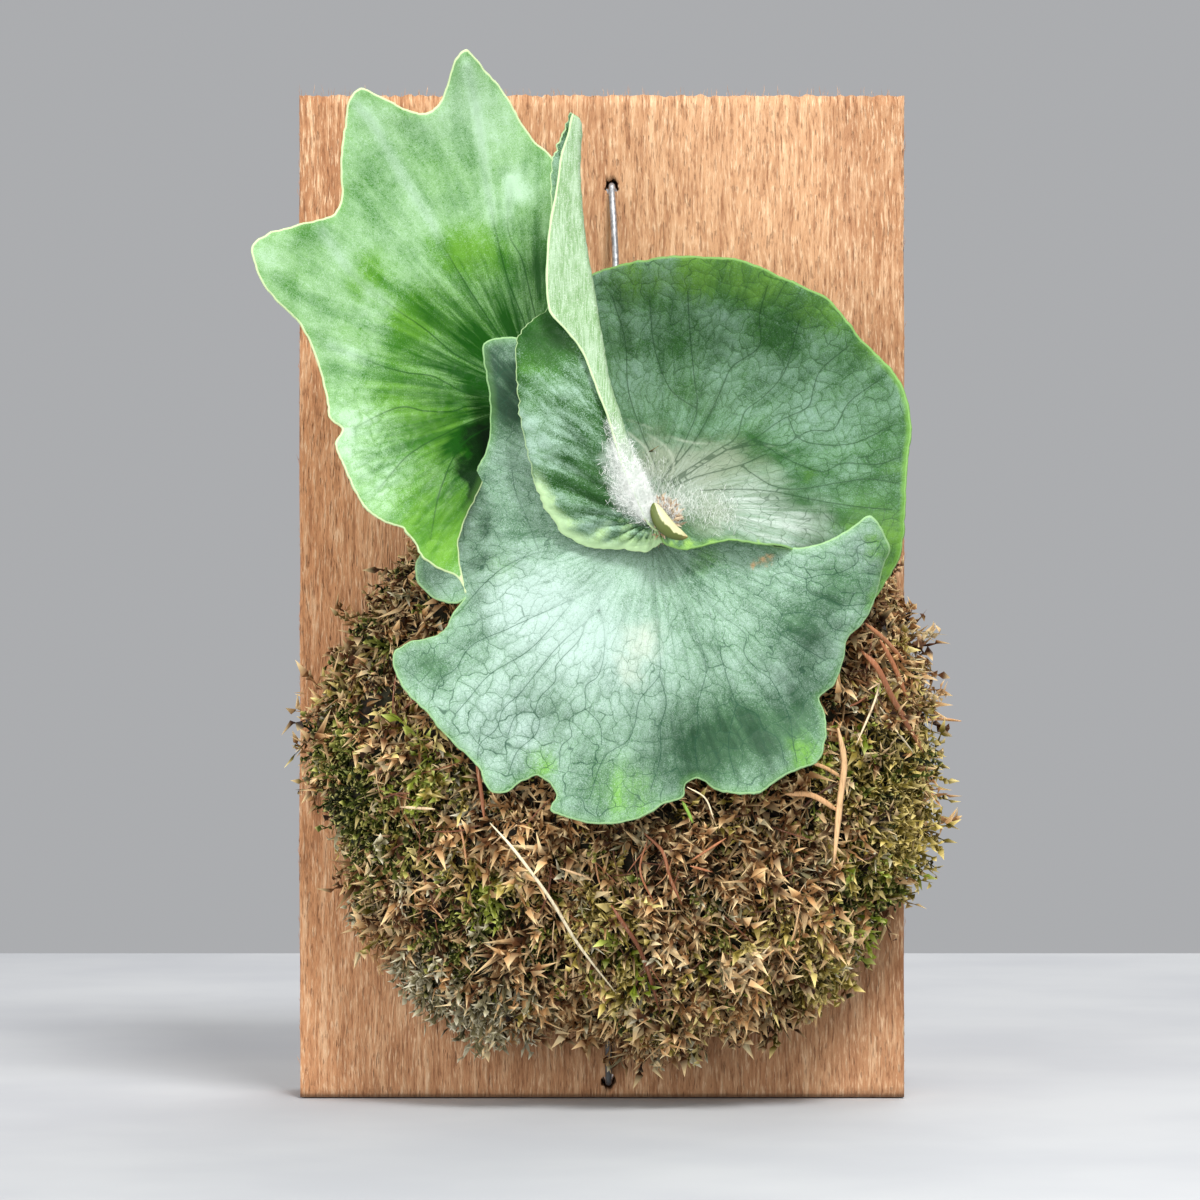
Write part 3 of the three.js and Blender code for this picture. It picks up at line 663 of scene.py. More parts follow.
ROUND_OUTLINE = [
    (18.5, 169.5), (18, 176), (11.5, 187.5), (5.5, 203), (0, 218.5), (-3, 233.5), (-4.5, 244),
    (-3.5, 250), (1, 252), (5, 253), (11, 254.5), (18.5, 255.5), (24.5, 256), (33.5, 255.5),
    (41.5, 255), (47, 253), (54, 250), (61, 247), (68, 243.5), (73, 238.5), (77, 233), (82.5, 227),
    (88, 221.5), (91.5, 216), (93.5, 209), (94, 202.5), (93, 194.5), (92.5, 186), (92, 176.5),
    (91.5, 169), (90.5, 164.5), (88.5, 161), (86, 156.5), (83, 152.5), (77, 151), (70, 154),
    (64.5, 159.5), (61, 164.5), (56.5, 167.5), (48.5, 168.5), (38.5, 169.5), (31, 168), (24, 167),
]
FRONT_OUTLINE = [
    (-36, 229.5), (-31, 231), (-26, 231), (-16.5, 221), (-5, 195.5), (5.5, 181), (17, 177),
    (26, 171), (36, 170.5), (46.5, 169.5), (53.5, 167.4), (58, 167), (63, 167.4), (70.5, 170),
    (77, 174), (81.5, 177), (83.5, 175.5), (86, 170.5), (87.5, 167), (86, 163), (84.5, 157.5),
    (82.5, 150.5), (78.5, 143.5), (75, 141), (73.5, 134.5), (70.5, 126), (66, 121.5),
    (67.5, 117.5), (68, 114), (67.5, 107.5), (65, 102), (58.5, 99.5), (53, 96.5), (48, 93),
    (41, 92.5), (34.5, 94), (31, 96.5), (28, 97), (25.5, 95.5), (24.5, 91.5), (17.5, 89),
    (15, 87), (7.5, 84), (-3.5, 83.5), (-11, 85.5), (-15.5, 87.5), (-13.5, 92), (-15.5, 95.5),
    (-20, 98), (-23, 97), (-26, 95.5), (-29, 93), (-33.5, 93), (-35.5, 95.5), (-37, 100),
    (-42.5, 105.5), (-49, 112), (-53.5, 117.5), (-59, 123), (-62.5, 129), (-63.5, 134.5),
    (-59.5, 138), (-53.5, 139.5), (-48, 142), (-45, 147.5), (-41.5, 152), (-44.5, 150.5),
    (-48, 151), (-52, 152.5), (-56.5, 158.5), (-56, 163.5), (-53.5, 168), (-48, 174), (-43, 178),
    (-41.5, 185), (-37.5, 192), (-34.5, 199), (-34, 212.5), (-35.5, 222.5),
]
UPRIGHT_DEPTHS = [
    (18, 176, 60), (0, 185, 54), (-12, 196, 49), (-31, 194, 48), (-38, 184, 64), (-42.5, 172, 71),
    (-41.5, 154, 75), (-54, 164, 75), (-66, 176, 73), (-80, 203, 68), (-62, 208, 60),
    (-47, 215, 50), (-32, 228, 42), (-16, 250, 44), (-15, 284, 49), (-31, 307, 56), (-41.5, 319, 63),
    (-54, 299, 57), (-76, 305, 65), (-80, 279, 62), (-62, 272, 53), (-45, 270, 48),
    (-106.5, 258, 77), (-93, 237, 71), (-72, 240, 57), (-46, 190, 66),
]
ROUND_DEPTHS = [
    (18, 173, 72), (31, 168, 74.5), (48.5, 168, 73.5), (57, 167, 70.5), (64, 160, 62),
    (77, 151, 56), (89, 161, 54), (92.5, 186, 51), (94, 203, 47), (90, 218, 43), (77, 233, 39),
    (54, 250, 36), (25, 256, 33), (0, 251, 24), (-4, 235, 22), (3, 210, 25), (8, 196, 38),
    (28, 201, 28), (51, 198, 31), (71, 195, 40), (36, 226, 20), (62, 224, 28), (27, 183, 58),
    (45, 181, 60), (65, 178, 58), (81, 179, 52), (13, 186, 52),
]
FRONT_DEPTHS = [
    (18, 172, 65), (0, 187, 63), (-15, 213, 61), (-29, 231, 59), (-34, 205, 60), (-34, 188, 60),
    (-41, 177, 57), (-56, 161, 55), (-43, 152, 60), (-13, 165, 70), (-63, 134, 66), (-52, 119, 70),
    (-35, 94, 75), (-19, 124, 73), (11, 138, 75), (11, 112, 76), (-21, 97, 73), (-15, 87, 79),
    (0, 84, 84), (17, 89, 80), (28, 96, 72), (41, 93, 79), (67, 104, 74), (67, 114, 71),
    (66, 122, 66), (75, 139, 67), (86, 158, 67), (87, 167, 72), (82, 176, 76), (63, 166.5, 73),
    (54, 166.5, 67), (36, 170, 66), (36, 148, 72), (60, 139, 73), (45, 115, 74),
]

print(len(UPRIGHT_OUTLINE) + len(ROUND_OUTLINE) + len(FRONT_OUTLINE), "outline points")

# %% Main veins
# In pixels of the 1200 pixel wide view.
PIXEL = 0.3046
BOARD_CENTRE_PX, BOARD_FOOT_PX = 602, 1097


def seen_at(points):
    """Millimetres against the board's face from pixels of the view."""
    return [((x - BOARD_CENTRE_PX) * PIXEL, (BOARD_FOOT_PX - y) * PIXEL) for x, y in points]


UPRIGHT_VEINS = [
    [(467, 64), (476, 110), (483, 158), (493, 218), (507, 277), (525, 325), (540, 390)],
    [(352, 99), (372, 122), (396, 166), (424, 210), (455, 267), (497, 332), (540, 395)],
    [(318, 226), (335, 252), (353, 275), (392, 307), (425, 330), (455, 355), (482, 369), (540, 402)],
    [(330, 345), (380, 366), (405, 373), (432, 377), (461, 392), (487, 398), (540, 402)],
    [(350, 430), (400, 408), (425, 412), (452, 412), (466, 407), (489, 408), (540, 404)],
    [(378, 490), (410, 455), (446, 434), (479, 419), (530, 404)],
    [(430, 540), (440, 490), (461, 446), (491, 426), (530, 408)],
    [(509, 180), (509, 234), (521, 257), (531, 297), (543, 350)],
]
ROUND_VEINS = [
    [(662, 485), (688, 436), (697, 410), (694, 375), (690, 330), (688, 290)],
    [(662, 482), (697, 439), (721, 391), (732, 367), (760, 345), (760, 315), (768, 285)],
    [(668, 484), (720, 450), (736, 439), (745, 413), (764, 397), (785, 372), (800, 320)],
    [(672, 486), (727, 452), (753, 441), (782, 421), (810, 406), (814, 391), (821, 371), (850, 345)],
    [(753, 441), (782, 447), (810, 432), (834, 430), (849, 404), (880, 380)],
    [(727, 452), (762, 447), (782, 458), (823, 473), (842, 465), (879, 465), (900, 458)],
    [(672, 490), (693, 480), (740, 467), (766, 456)],
    [(740, 467), (769, 486), (792, 491), (840, 484), (868, 480), (900, 484)],
    [(700, 492), (760, 492), (829, 504), (862, 508), (892, 510)],
    [(656, 470), (640, 430), (628, 390), (625, 340), (612, 295)],
    [(790, 421), (800, 440), (850, 445), (895, 425)],
    [(697, 410), (672, 392), (655, 350), (650, 300)],
]
FRONT_VEINS = [
    [(607, 585), (556, 607), (509, 629), (471, 647), (455, 670), (439, 681), (432, 700)],
    [(600, 550), (540, 553), (511, 564), (489, 580), (460, 612), (430, 640)],
    [(607, 590), (588, 619), (580, 639), (556, 667), (556, 680), (540, 698), (536, 712), (540, 721),
     (536, 734), (517, 752), (508, 775)],
    [(600, 610), (560, 645), (536, 674), (520, 694), (503, 710), (497, 728), (479, 746), (478, 765)],
    [(575, 600), (530, 650), (490, 675), (468, 700), (455, 715)],
    [(598, 600), (605, 640), (598, 676), (586, 686), (585, 708), (570, 719), (572, 736), (562, 746),
     (560, 767)],
    [(652, 580), (657, 613), (659, 645), (659, 674), (639, 701), (635, 722), (628, 740), (605, 757),
     (590, 800)],
    [(659, 674), (666, 703), (660, 726), (660, 755), (650, 790)],
    [(665, 555), (672, 573), (683, 600), (691, 622), (702, 649), (706, 670), (702, 688), (697, 707),
     (698, 726), (695, 747), (700, 780)],
    [(680, 556), (702, 569), (727, 582), (754, 594), (781, 615), (777, 630), (798, 644), (825, 660)],
    [(781, 615), (804, 613), (827, 621), (832, 628), (855, 632)],
    [(745, 575), (769, 586), (773, 577), (787, 573), (806, 578), (823, 574), (832, 574), (857, 561),
     (857, 546), (876, 540)],
    [(806, 578), (809, 592), (831, 600), (842, 605), (868, 603)],
    [(690, 570), (715, 610), (746, 636), (744, 653), (758, 670), (769, 678), (777, 691), (790, 722),
     (792, 739), (798, 770)],
    [(706, 600), (729, 684), (737, 703), (758, 716), (762, 728), (777, 739), (785, 765)],
    [(737, 703), (731, 726), (729, 747), (735, 775)],
    [(540, 553), (528, 520), (516, 492), (512, 470)],
    [(536, 712), (517, 715), (508, 735)],
    [(585, 708), (600, 725), (602, 745)],
]

print(len(UPRIGHT_VEINS) + len(ROUND_VEINS) + len(FRONT_VEINS), "main veins")

# %% Measuring flat shapes
def nearest(points, line):
    """The distance of each point to the nearest point of a densely drawn line."""
    blocks = np.array_split(points, max(1, len(points) // 2000))
    return np.concatenate([np.sqrt(((b[:, None] - line[None]) ** 2).sum(2)).min(1) for b in blocks])


def within(points, outline):
    """Whether each point lies inside a closed outline."""
    inside = np.zeros(len(points), bool)
    for a, b in zip(outline, np.roll(outline, -1, axis=0)):
        crosses = (a[1] > points[:, 1]) != (b[1] > points[:, 1])
        at = a[0] + (points[:, 1] - a[1]) * (b[0] - a[0]) / (b[1] - a[1] + 1e-12)
        inside ^= crosses & (points[:, 0] < at)
    return inside


def fall(flat, places):
    """Soft spots on a flat map: each is x and y in the view's pixels, a radius in millimetres and a
    strength."""
    total = np.zeros(len(flat))
    for *centre, radius, strength in places:
        away = np.linalg.norm(flat - np.array(seen_at([centre])[0]), axis=1)
        share = np.clip(1 - away / radius, 0, 1)
        total += strength * share * share * (3 - 2 * share)
    return total


def plate_through(depths):
    """The surface through given depths that bends as a thin plate does."""
    given = np.asarray(depths, float)

    def bend(a):
        square = ((a[:, None] - given[None, :, :2]) ** 2).sum(2)
        return square * np.log(np.maximum(square, 1e-9))

    def tilt(a):
        return np.column_stack([np.ones(len(a)), a])

    count = len(given)
    sums = tilt(given[:, :2])
    rows = np.block([[bend(given[:, :2]), sums], [sums.T, np.zeros((3, 3))]])
    weights = np.linalg.solve(rows, np.append(given[:, 2], np.zeros(3)))
    return lambda xz: bend(xz) @ weights[:count] + tilt(xz) @ weights[count:]


middle_depth = plate_through(FRONT_DEPTHS)(np.array([[0.0, 130.0]]))[0]
print(f"the front frond stands {middle_depth:.0f} mm out in its middle")

# %% Sheets from outlines
SHEET_SPACING = 1.05
VEIN_TO_RIM = 0.9
FROND_THICKNESS = 1.2
MARGIN_THICKNESS = 0.55
MARGIN_WIDTH = 3
FAN_RADIUS = 60
CRINKLE = 0.35


def crinkled(rim):
    """The outline with the small uneven scallops of a living margin."""
    along = np.roll(rim, -1, axis=0) - np.roll(rim, 1, axis=0)
    out = np.column_stack([along[:, 1], -along[:, 0]]) / np.linalg.norm(along, axis=1)[:, None]
    waves = [noise.noise((x / 3.1, z / 3.1, 2)) + 0.5 * noise.noise((x / 1.3, z / 1.3, 7)) for x, z in rim]
    return rim + out * CRINKLE * np.array(waves)[:, None]


def flat_mesh(outline, veins, ridges):
    """Points and triangles of the flat frond, with its veins and ridges as edges, and densely drawn lines
    of its rim, veins and ridges."""
    rim = crinkled(through(outline, 7, closed=True))
    dense_rim = through(rim, 2, closed=True)
    lines, vein_edges, vein_points = [], [], []
    for vein in veins + ridges:
        line = through(seen_at(vein), 9)
        line = line[within(line, rim)]
        line = line[nearest(line, dense_rim) > VEIN_TO_RIM]
        first = len(rim) + len(vein_points)
        vein_edges += [(first + i, first + i + 1) for i in range(len(line) - 1)]
        vein_points += [tuple(p) for p in line]
        lines.append(through(line, 3) if len(line) > 1 else line)
    low, high = rim.min(0), rim.max(0)
    rows = np.arange(low[1], high[1], SHEET_SPACING * math.sqrt(0.75))
    across = np.arange(low[0], high[0], SHEET_SPACING)
    grid = np.array([(x + (i % 2) * SHEET_SPACING / 2, z) for i, z in enumerate(rows) for x in across])
    grid = grid[within(grid, rim)]
    grid = grid[nearest(grid, dense_rim) > 0.6 * SHEET_SPACING]
    grid = grid[nearest(grid, np.vstack(lines)) > 0.5 * SHEET_SPACING]
    flat = [Vector(p) for p in [*rim, *vein_points, *grid]]
    made = delaunay_2d_cdt(flat, vein_edges, [list(range(len(rim)))], 1, 1e-4)
    sets = [np.vstack(part) if part else None for part in (lines[:len(veins)], lines[len(veins):])]
    return np.array([tuple(p) for p in made[0]]), np.array(made[2]), [dense_rim, *sets]


def point_normals(points, triangles):
    """Each point's normal, from the triangles round it."""
    a, b, c = [points[triangles[:, k]] for k in range(3)]
    face = np.cross(b - a, c - a)
    total = np.zeros_like(points)
    for k in range(3):
        np.add.at(total, triangles[:, k], face)
    return total / np.maximum(np.linalg.norm(total, axis=1), 1e-12)[:, None]


def open_edges(triangles):
    """The directed edges that only one triangle has."""
    pairs = {}
    for a, b, c in triangles.tolist():
        for edge in ((a, b), (b, c), (c, a)):
            pairs[edge] = True
    return [edge for edge in pairs if (edge[1], edge[0]) not in pairs]


def store_map(mesh, name, pairs):
    """A UV map from one pair of numbers for each point."""
    corners = np.empty(len(mesh.loops), np.int32)
    mesh.loops.foreach_get("vertex_index", corners)
    layer = mesh.uv_layers.new(name=name)
    layer.data.foreach_set("uv", np.asarray(pairs, np.float32)[corners].ravel())


def sheet_piece(name, flat, depth, triangles, marks, fan):
    """A closed sheet round a surface that is given as seen: a front, a back and a rounded margin. The
    marks are numbers stored on its points, and the one called rim is the distance to the margin."""
    full = np.clip(marks["rim"] / MARGIN_WIDTH, 0, 1)
    thickness = MARGIN_THICKNESS + (FROND_THICKNESS - MARGIN_THICKNESS) * full
    points = np.column_stack([flat[:, 0], -depth, flat[:, 1]])
    normals = point_normals(points, triangles)
    front = points + normals * thickness[:, None] / 2
    back = points - normals * thickness[:, None] / 2
    count = len(points)
    edges = open_edges(triangles)
    outward = {}
    for a, b in edges:
        way = np.cross(points[b] - points[a], normals[a])
        for end in (a, b):
            outward[end] = outward.get(end, 0) + way / np.linalg.norm(way)
    rim = [points[a] + outward[a] / np.linalg.norm(outward[a]) * thickness[a] * 0.4 for a, b in edges]
    faces = [*triangles.tolist(), *(triangles[:, ::-1] + count).tolist()]
    ends = {a: count * 2 + i for i, (a, b) in enumerate(edges)}
    for a, b in edges:
        faces += [(b, a, ends[a], ends[b]), (a + count, b + count, ends[b], ends[a])]
    order = [*range(count), *range(count), *[a for a, b in edges]]
    mesh = bpy.data.meshes.new(name)
    mesh.from_pydata(in_space(np.vstack([front, back, rim]) * (1, -1, 1)) * MM, [], faces)
    mesh.polygons.foreach_set("use_smooth", [True] * len(mesh.polygons))
    store(mesh, "felt", [0.0] * count + [1.0] * count + [0.0] * len(edges))
    for word, values in marks.items():
        store(mesh, word, values[order])
    store_map(mesh, "fan", fan[order])
    store_map(mesh, "seen", flat[order])
    return laid(name, mesh)


def fan_map(flat, origin, cut):
    """Coordinates that run round an origin in one way and outward in the other, in millimetres at the
    fan's radius."""
    away = flat - np.array(origin)
    turn = np.mod(np.arctan2(away[:, 1], away[:, 0]) - cut, 2 * math.pi)
    return np.column_stack([turn * FAN_RADIUS, np.linalg.norm(away, axis=1)])


# %% Open fronds
VEIN_WIDTH = 1.1
VEIN_VALLEY = 4
CELL_RISE = 0.35
RIDGE_RISE = 0.5
WAVE_RISE = 0.8
FAR = 9.0


def bell(distance, width):
    """1 on a line and next to nothing at twice the width from it."""
    return np.exp(-(distance / width) ** 2)


def open_frond(name, shape):
    """An open frond as a sheet."""
    flat, triangles, lines = flat_mesh(shape["outline"], shape["veins"], shape.get("ridges", []))
    rim, vein, ridge = [np.full(len(flat), FAR) if line is None else nearest(flat, line) for line in lines]
    groove = shape["groove"] * bell(vein, VEIN_WIDTH) - CELL_RISE * (1 - bell(vein, VEIN_VALLEY))
    groove = groove - RIDGE_RISE * bell(ridge, VEIN_WIDTH)
    wave = np.array([noise.noise((x / 14, z / 14, 3)) for x, z in flat]) * WAVE_RISE * np.exp(-rim / 12)
    depth = plate_through(shape["depths"])(flat) - groove + wave
    swelling = shape["swelling"]
    marks = {
        "rim": rim, "vein": vein, "ridge": ridge, "wool": np.clip(fall(flat, shape.get("wool", [])), 0, 1),
        "swell": np.clip(swelling[0] + fall(flat, swelling[1:]), 0, 1),
    }
    fan = fan_map(flat, seen_at([shape["origin"]])[0], shape["cut"])
    return sheet_piece(name, flat, depth, triangles, marks, fan)


print(f"sheets of {FROND_THICKNESS} mm, points {SHEET_SPACING} mm apart")


# %% [markdown]
# ## Fine veins
# A staghorn's shield frond has a net of fine dark veins. A Voronoi texture's distance to its cell edges
# draws such a net. It is laid on the fan map, so that its cells grow longer away from the crown, and bent
# a little by noise. The same few nodes serve the finish and the relief, so colour and shape agree.

# %% The vein net
NET_BEND = 0.11


def vein_net(t, fan, cell, long, wobble=2.5):
    """Distance to the nearest fine vein, 0 on it, for cells of a size in millimetres that are long times
    as long as wide."""
    sockets = {"Vector": fan, "Scale": NET_BEND, "Detail": 2.0}
    bend = t.node("ShaderNodeTexNoise", {"noise_dimensions": "2D"}, sockets, 1)
    shifted = t.vector("ADD", fan, t.stretch(t.centred(bend), (wobble * 3,) * 3))
    place = t.stretch(shifted, (1 / cell, 1 / (cell * long), 1.0))
    settings = {"voronoi_dimensions": "2D", "feature": "DISTANCE_TO_EDGE"}
    sockets = {"Vector": place, "Scale": 1.0, "Randomness": 0.85}
    return t.node("ShaderNodeTexVoronoi", settings, sockets, "Distance")


def relief_tree(cell, long):
    """Moves a sheet's points along their normals, so that the cells of the net swell on its upper side."""
    t = Growth("vein_relief", Height="Float")
    sheet, height = t.given
    swell = vein_net(t, t.stored("fan", "FLOAT_VECTOR"), cell, long).ease(0, 0.35) * t.stored("swell")
    push = t.scaled(t.node("GeometryNodeInputNormal"), height * swell * (1 - t.stored("felt") * 2))
    return t.done(t.node("GeometryNodeSetPosition", {}, {"Geometry": sheet, "Offset": push}))


print("the net bends over", round(1 / NET_BEND), "mm")


# %% [markdown]
# ## The leaf finish
# A leaf's colour is built as the leaf is: a green ground that varies in broad clouds, a bluish-white bloom
# of tiny hairs that is rubbed off in places, darker veins, a pale margin and, on the underside, a felt.
# The bloom and the bright patches have soft spots placed where the plant shows them.
# Shade is painted into the colour too: dark spots and the throat near the crown darken the green and hide
# its bloom.

# %% Leaf finish
def spots(t, seen, places):
    """Soft spots, each x and y in the view's pixels, a radius in millimetres and a strength."""
    total = None
    for *centre, radius, strength in places:
        away = t.vector("DISTANCE", seen, (*seen_at([centre])[0], 0.0))
        spot = away.ease(radius, 0) * strength
        total = spot if total is None else total + spot
    return total.most(-1.0).least(1.0)


def leaf_finish(name, look):
    t = Finish(name)
    fan, flat = [t.node("ShaderNodeUVMap", {"uv_map": word}) for word in ("fan", "seen")]
    words = ("felt", "rim", "vein", "ridge", "swell")
    felt, rim, vein, ridge, swell = [t.attribute(word) for word in words]
    ragged = t.centred(t.noise(t.place, 110.0, 4.0, 0.6, 1))
    seen = t.vector("ADD", flat, t.stretch(ragged, (14.0, 14.0, 0.0)))
    reach = t.split(fan, "Y")[0]
    cloud = t.noise(t.place, 60.0, 4.0, 0.6)
    streak = t.streaks(fan, (0.2, 0.03, 1.0), 4.0, 0.62)
    sockets = {"Vector": t.place, "Scale": 1300.0, "Detail": 3.0, "Distortion": 3.0}
    strokes = t.node("ShaderNodeTexNoise", {}, sockets)
    light_stroke, dark_stroke = strokes.ease(0.5, 0.68), strokes.ease(0.5, 0.34)
    net = vein_net(t, fan, look["cell"], look["long"])
    fine = net.ease(look["fine_width"], look["fine_width"] * 0.25)
    fine = fine * (0.45 + t.noise(t.place, 170.0, 2.0).ease(0.36, 0.62) * 0.55)
    minor = vein_net(t, fan, look["cell"] * 0.42, 1.3, 1.0).ease(0.09, 0.02)

    def share(word):
        return spots(t, seen, look[word]).most(0.0)

    green = t.mix((cloud * 0.5 + streak * 0.5).ease(0.38, 0.62), look["deep"], look["light"])
    bright = share("bright_spots") * (0.3 + streak.ease(0.38, 0.6) * 0.7)
    # painted shade: the dark spots and the throat near the crown darken the green
    shade = share("dark_spots")
    if "throat" in look:
        near, far, strength = look["throat"]
        depth = reach.ease(far, near) * (1.25 - vein.ease(3.0, 0.6) * 0.3 - streak * 0.5)
        shade = shade + depth * strength
    shade = (shade * (1.9 - streak * 1.8)).least(1.0)
    green = t.layered(green, (bright, look["bright"]), (shade, look["dark"]))

    bloom = look["bloom"] + (cloud - 0.5) * look["patchy"] + (streak - 0.5) * look["streaky"]
    bloom = bloom + spots(t, seen, look["bloom_spots"]) - bright * 0.5
    if "rib_bloom" in look:
        bloom = bloom + vein.ease(3.2, 0.0) * reach.ease(38, 66) * (0.35 + cloud) * look["rib_bloom"]
    # where shade is painted, the bloom is hidden as well
    bloom = bloom * (1 - shade * look["bloom_hidden_in_shade"]) * (1 - (1 - net.ease(0.0, 0.3)) * look["cells"] * swell)
    bloom = (bloom - dark_stroke * 0.24 + light_stroke * 0.22 * (1 - shade)).most(0.0).least(0.96)
    colour = t.mix(bloom, green, look["frost"])

    for tint in look.get("tints", []):
        tinted = spots(t, seen, tint["spots"]).most(0.0)
        if "rays" in tint:
            tinted = tinted * (t.streaks(fan, (0.42, 0.03, 1.0), 3.0, 0.6).ease(0.4, 0.62) * 0.6 + 0.4)
        colour = t.mix(tinted, colour, tint["colour"])

    main = vein.ease(look["main_width"], look["main_width"] * 0.3)
    if "rib_bloom" in look:
        main = main * reach.ease(66, 36)
    if "main_from" in look:
        main = main * (reach.ease(*look["main_from"]) * 0.85 + 0.15)
    edge = rim.ease(look["edge_width"], 0.4) * look["edge_strength"]
    if "edge_spots" in look:
        edge = edge * share("edge_spots")
    colour = t.layered(
        colour,
        (light_stroke * look["speck"] * (1 - shade), look["frost"]),
        (dark_stroke * look["speck"] * 0.7, look["dark_stroke"]),
        (fine * swell * look["fine"], look["vein"]),
        (minor * swell * look["fine"] * 0.3, look["vein"]),
        (main * look["main"], look["vein"]),
        (vein.ease(1.6, 0.2) * look["main"] * look["vein_glow"], look["vein"]),
        (ridge.ease(0.7, 0.1) * cloud.ease(0.4, 0.65) * 0.45, look["ridge"]),
        (edge, look["edge"]),
        (rim.ease(0.42, 0.1) * 0.8, look["margin"]),
    )

    strand = t.streaks(flat, (2.4, 0.2, 1.0), 4.0, 0.65)
    pale = t.streaks(flat, (0.35, 0.06, 1.0), 3.0, 0.6)
    under = t.mix((strand * 0.6 + pale * 0.4).ease(0.36, 0.62), look["felt_shade"], look["felt"])
    under = t.layered(
        under,
        (light_stroke * 0.35, (236, 242, 232)),
        (rim.ease(0.5, 0.12), look["margin"]),
        (t.attribute("wool") * 0.85, (226, 232, 226)),
    )
    t.shader.inputs["Specular IOR Level"].default_value = look["specular"]
    gloss = (look["gloss"] + bloom * 0.3 + felt * 0.4).least(0.95)
    height = net.ease(0.0, 0.3) * swell * 0.5 + strokes * 0.5 - minor * swell * 0.2
    return t.done(t.mix(felt, colour, under), gloss, (0.4, 0.4, height))


print("leaf finish ready")

# %% [markdown]
# ## How each frond looks
# The four fronds share one finish, and a look is its list of numbers: the size of the net's cells, the
# colours, how much bloom there is, and the spots where the plant is brighter, where its bloom is thinner and
# where shade is painted on it. Each spot is x and y in the view's pixels, a radius in millimetres and a
# strength.

# %% Looks
COMMON_LOOK = {
    "felt": (216, 232, 206), "felt_shade": (158, 190, 148), "ridge": (214, 226, 206),
    "edge": (120, 176, 84), "edge_width": 3.0, "edge_strength": 0.2, "fine_width": 0.035,
    "main_width": 0.3, "vein_glow": 0.12, "cells": 0.3, "bloom_hidden_in_shade": 1.0, "speck": 0.22, "specular": 0.2,
}
UPRIGHT_LOOK = {
    **COMMON_LOOK, "cell": 4.2, "long": 1.25, "fine": 0.3, "main": 0.75, "gloss": 0.36, "cells": 0.5,
    "deep": (58, 122, 20), "light": (106, 166, 50), "dark": (16, 72, 2), "bright": (112, 168, 52),
    "vein": (18, 70, 10), "frost": (184, 216, 184), "margin": (216, 232, 178), "dark_stroke": (60, 122, 50),
    "bloom": 0.42, "rib_bloom": 0.34, "patchy": 1.2, "streaky": 0.9, "speck": 0.12, "throat": (20, 66, 0.9),
    "bloom_spots": [(462, 100, 24, 0.2), (400, 240, 24, 0.02), (470, 225, 14, 0.12), (300, 250, 20, -0.05),
                    (520, 185, 8, 0.5), (375, 315, 12, 0.3), (340, 430, 12, 0.25), (395, 480, 12, 0.15),
                    (372, 276, 11, -0.35), (455, 245, 12, -0.3), (440, 520, 18, -0.5), (440, 440, 16, -0.4),
                    (400, 385, 14, -0.3), (500, 250, 12, -0.4), (410, 320, 15, -0.35),
                    (355, 330, 10, -0.25), (455, 335, 24, -0.25), (345, 455, 16, 0.3),
                    (430, 165, 12, -0.12)],
    # dark spots: painted shade, darkest in the shadow that the front frond's strip casts on this frond
    "dark_spots": [(488, 440, 12, 0.9), (508, 300, 20, 0.12), (480, 395, 12, 0.35), (540, 262, 14, 0.3),
                   (470, 345, 14, 0.2), (455, 455, 10, 0.3), (430, 300, 12, 0.2), (530, 220, 10, 0.25)],
    "bright_spots": [(440, 430, 20, 0.7), (440, 530, 26, 1.0), (395, 395, 18, 0.4), (470, 250, 16, 0.6),
                     (400, 320, 14, 0.5), (365, 280, 12, 0.4)],
    # painted shadow: a nearly black green in the shadow of the front frond's strip
    "tints": [{"colour": (3, 34, 1), "spots": [(492, 440, 10, 3.0), (496, 470, 13, 4.0),
                                               (486, 500, 9, 2.5)]}],
}
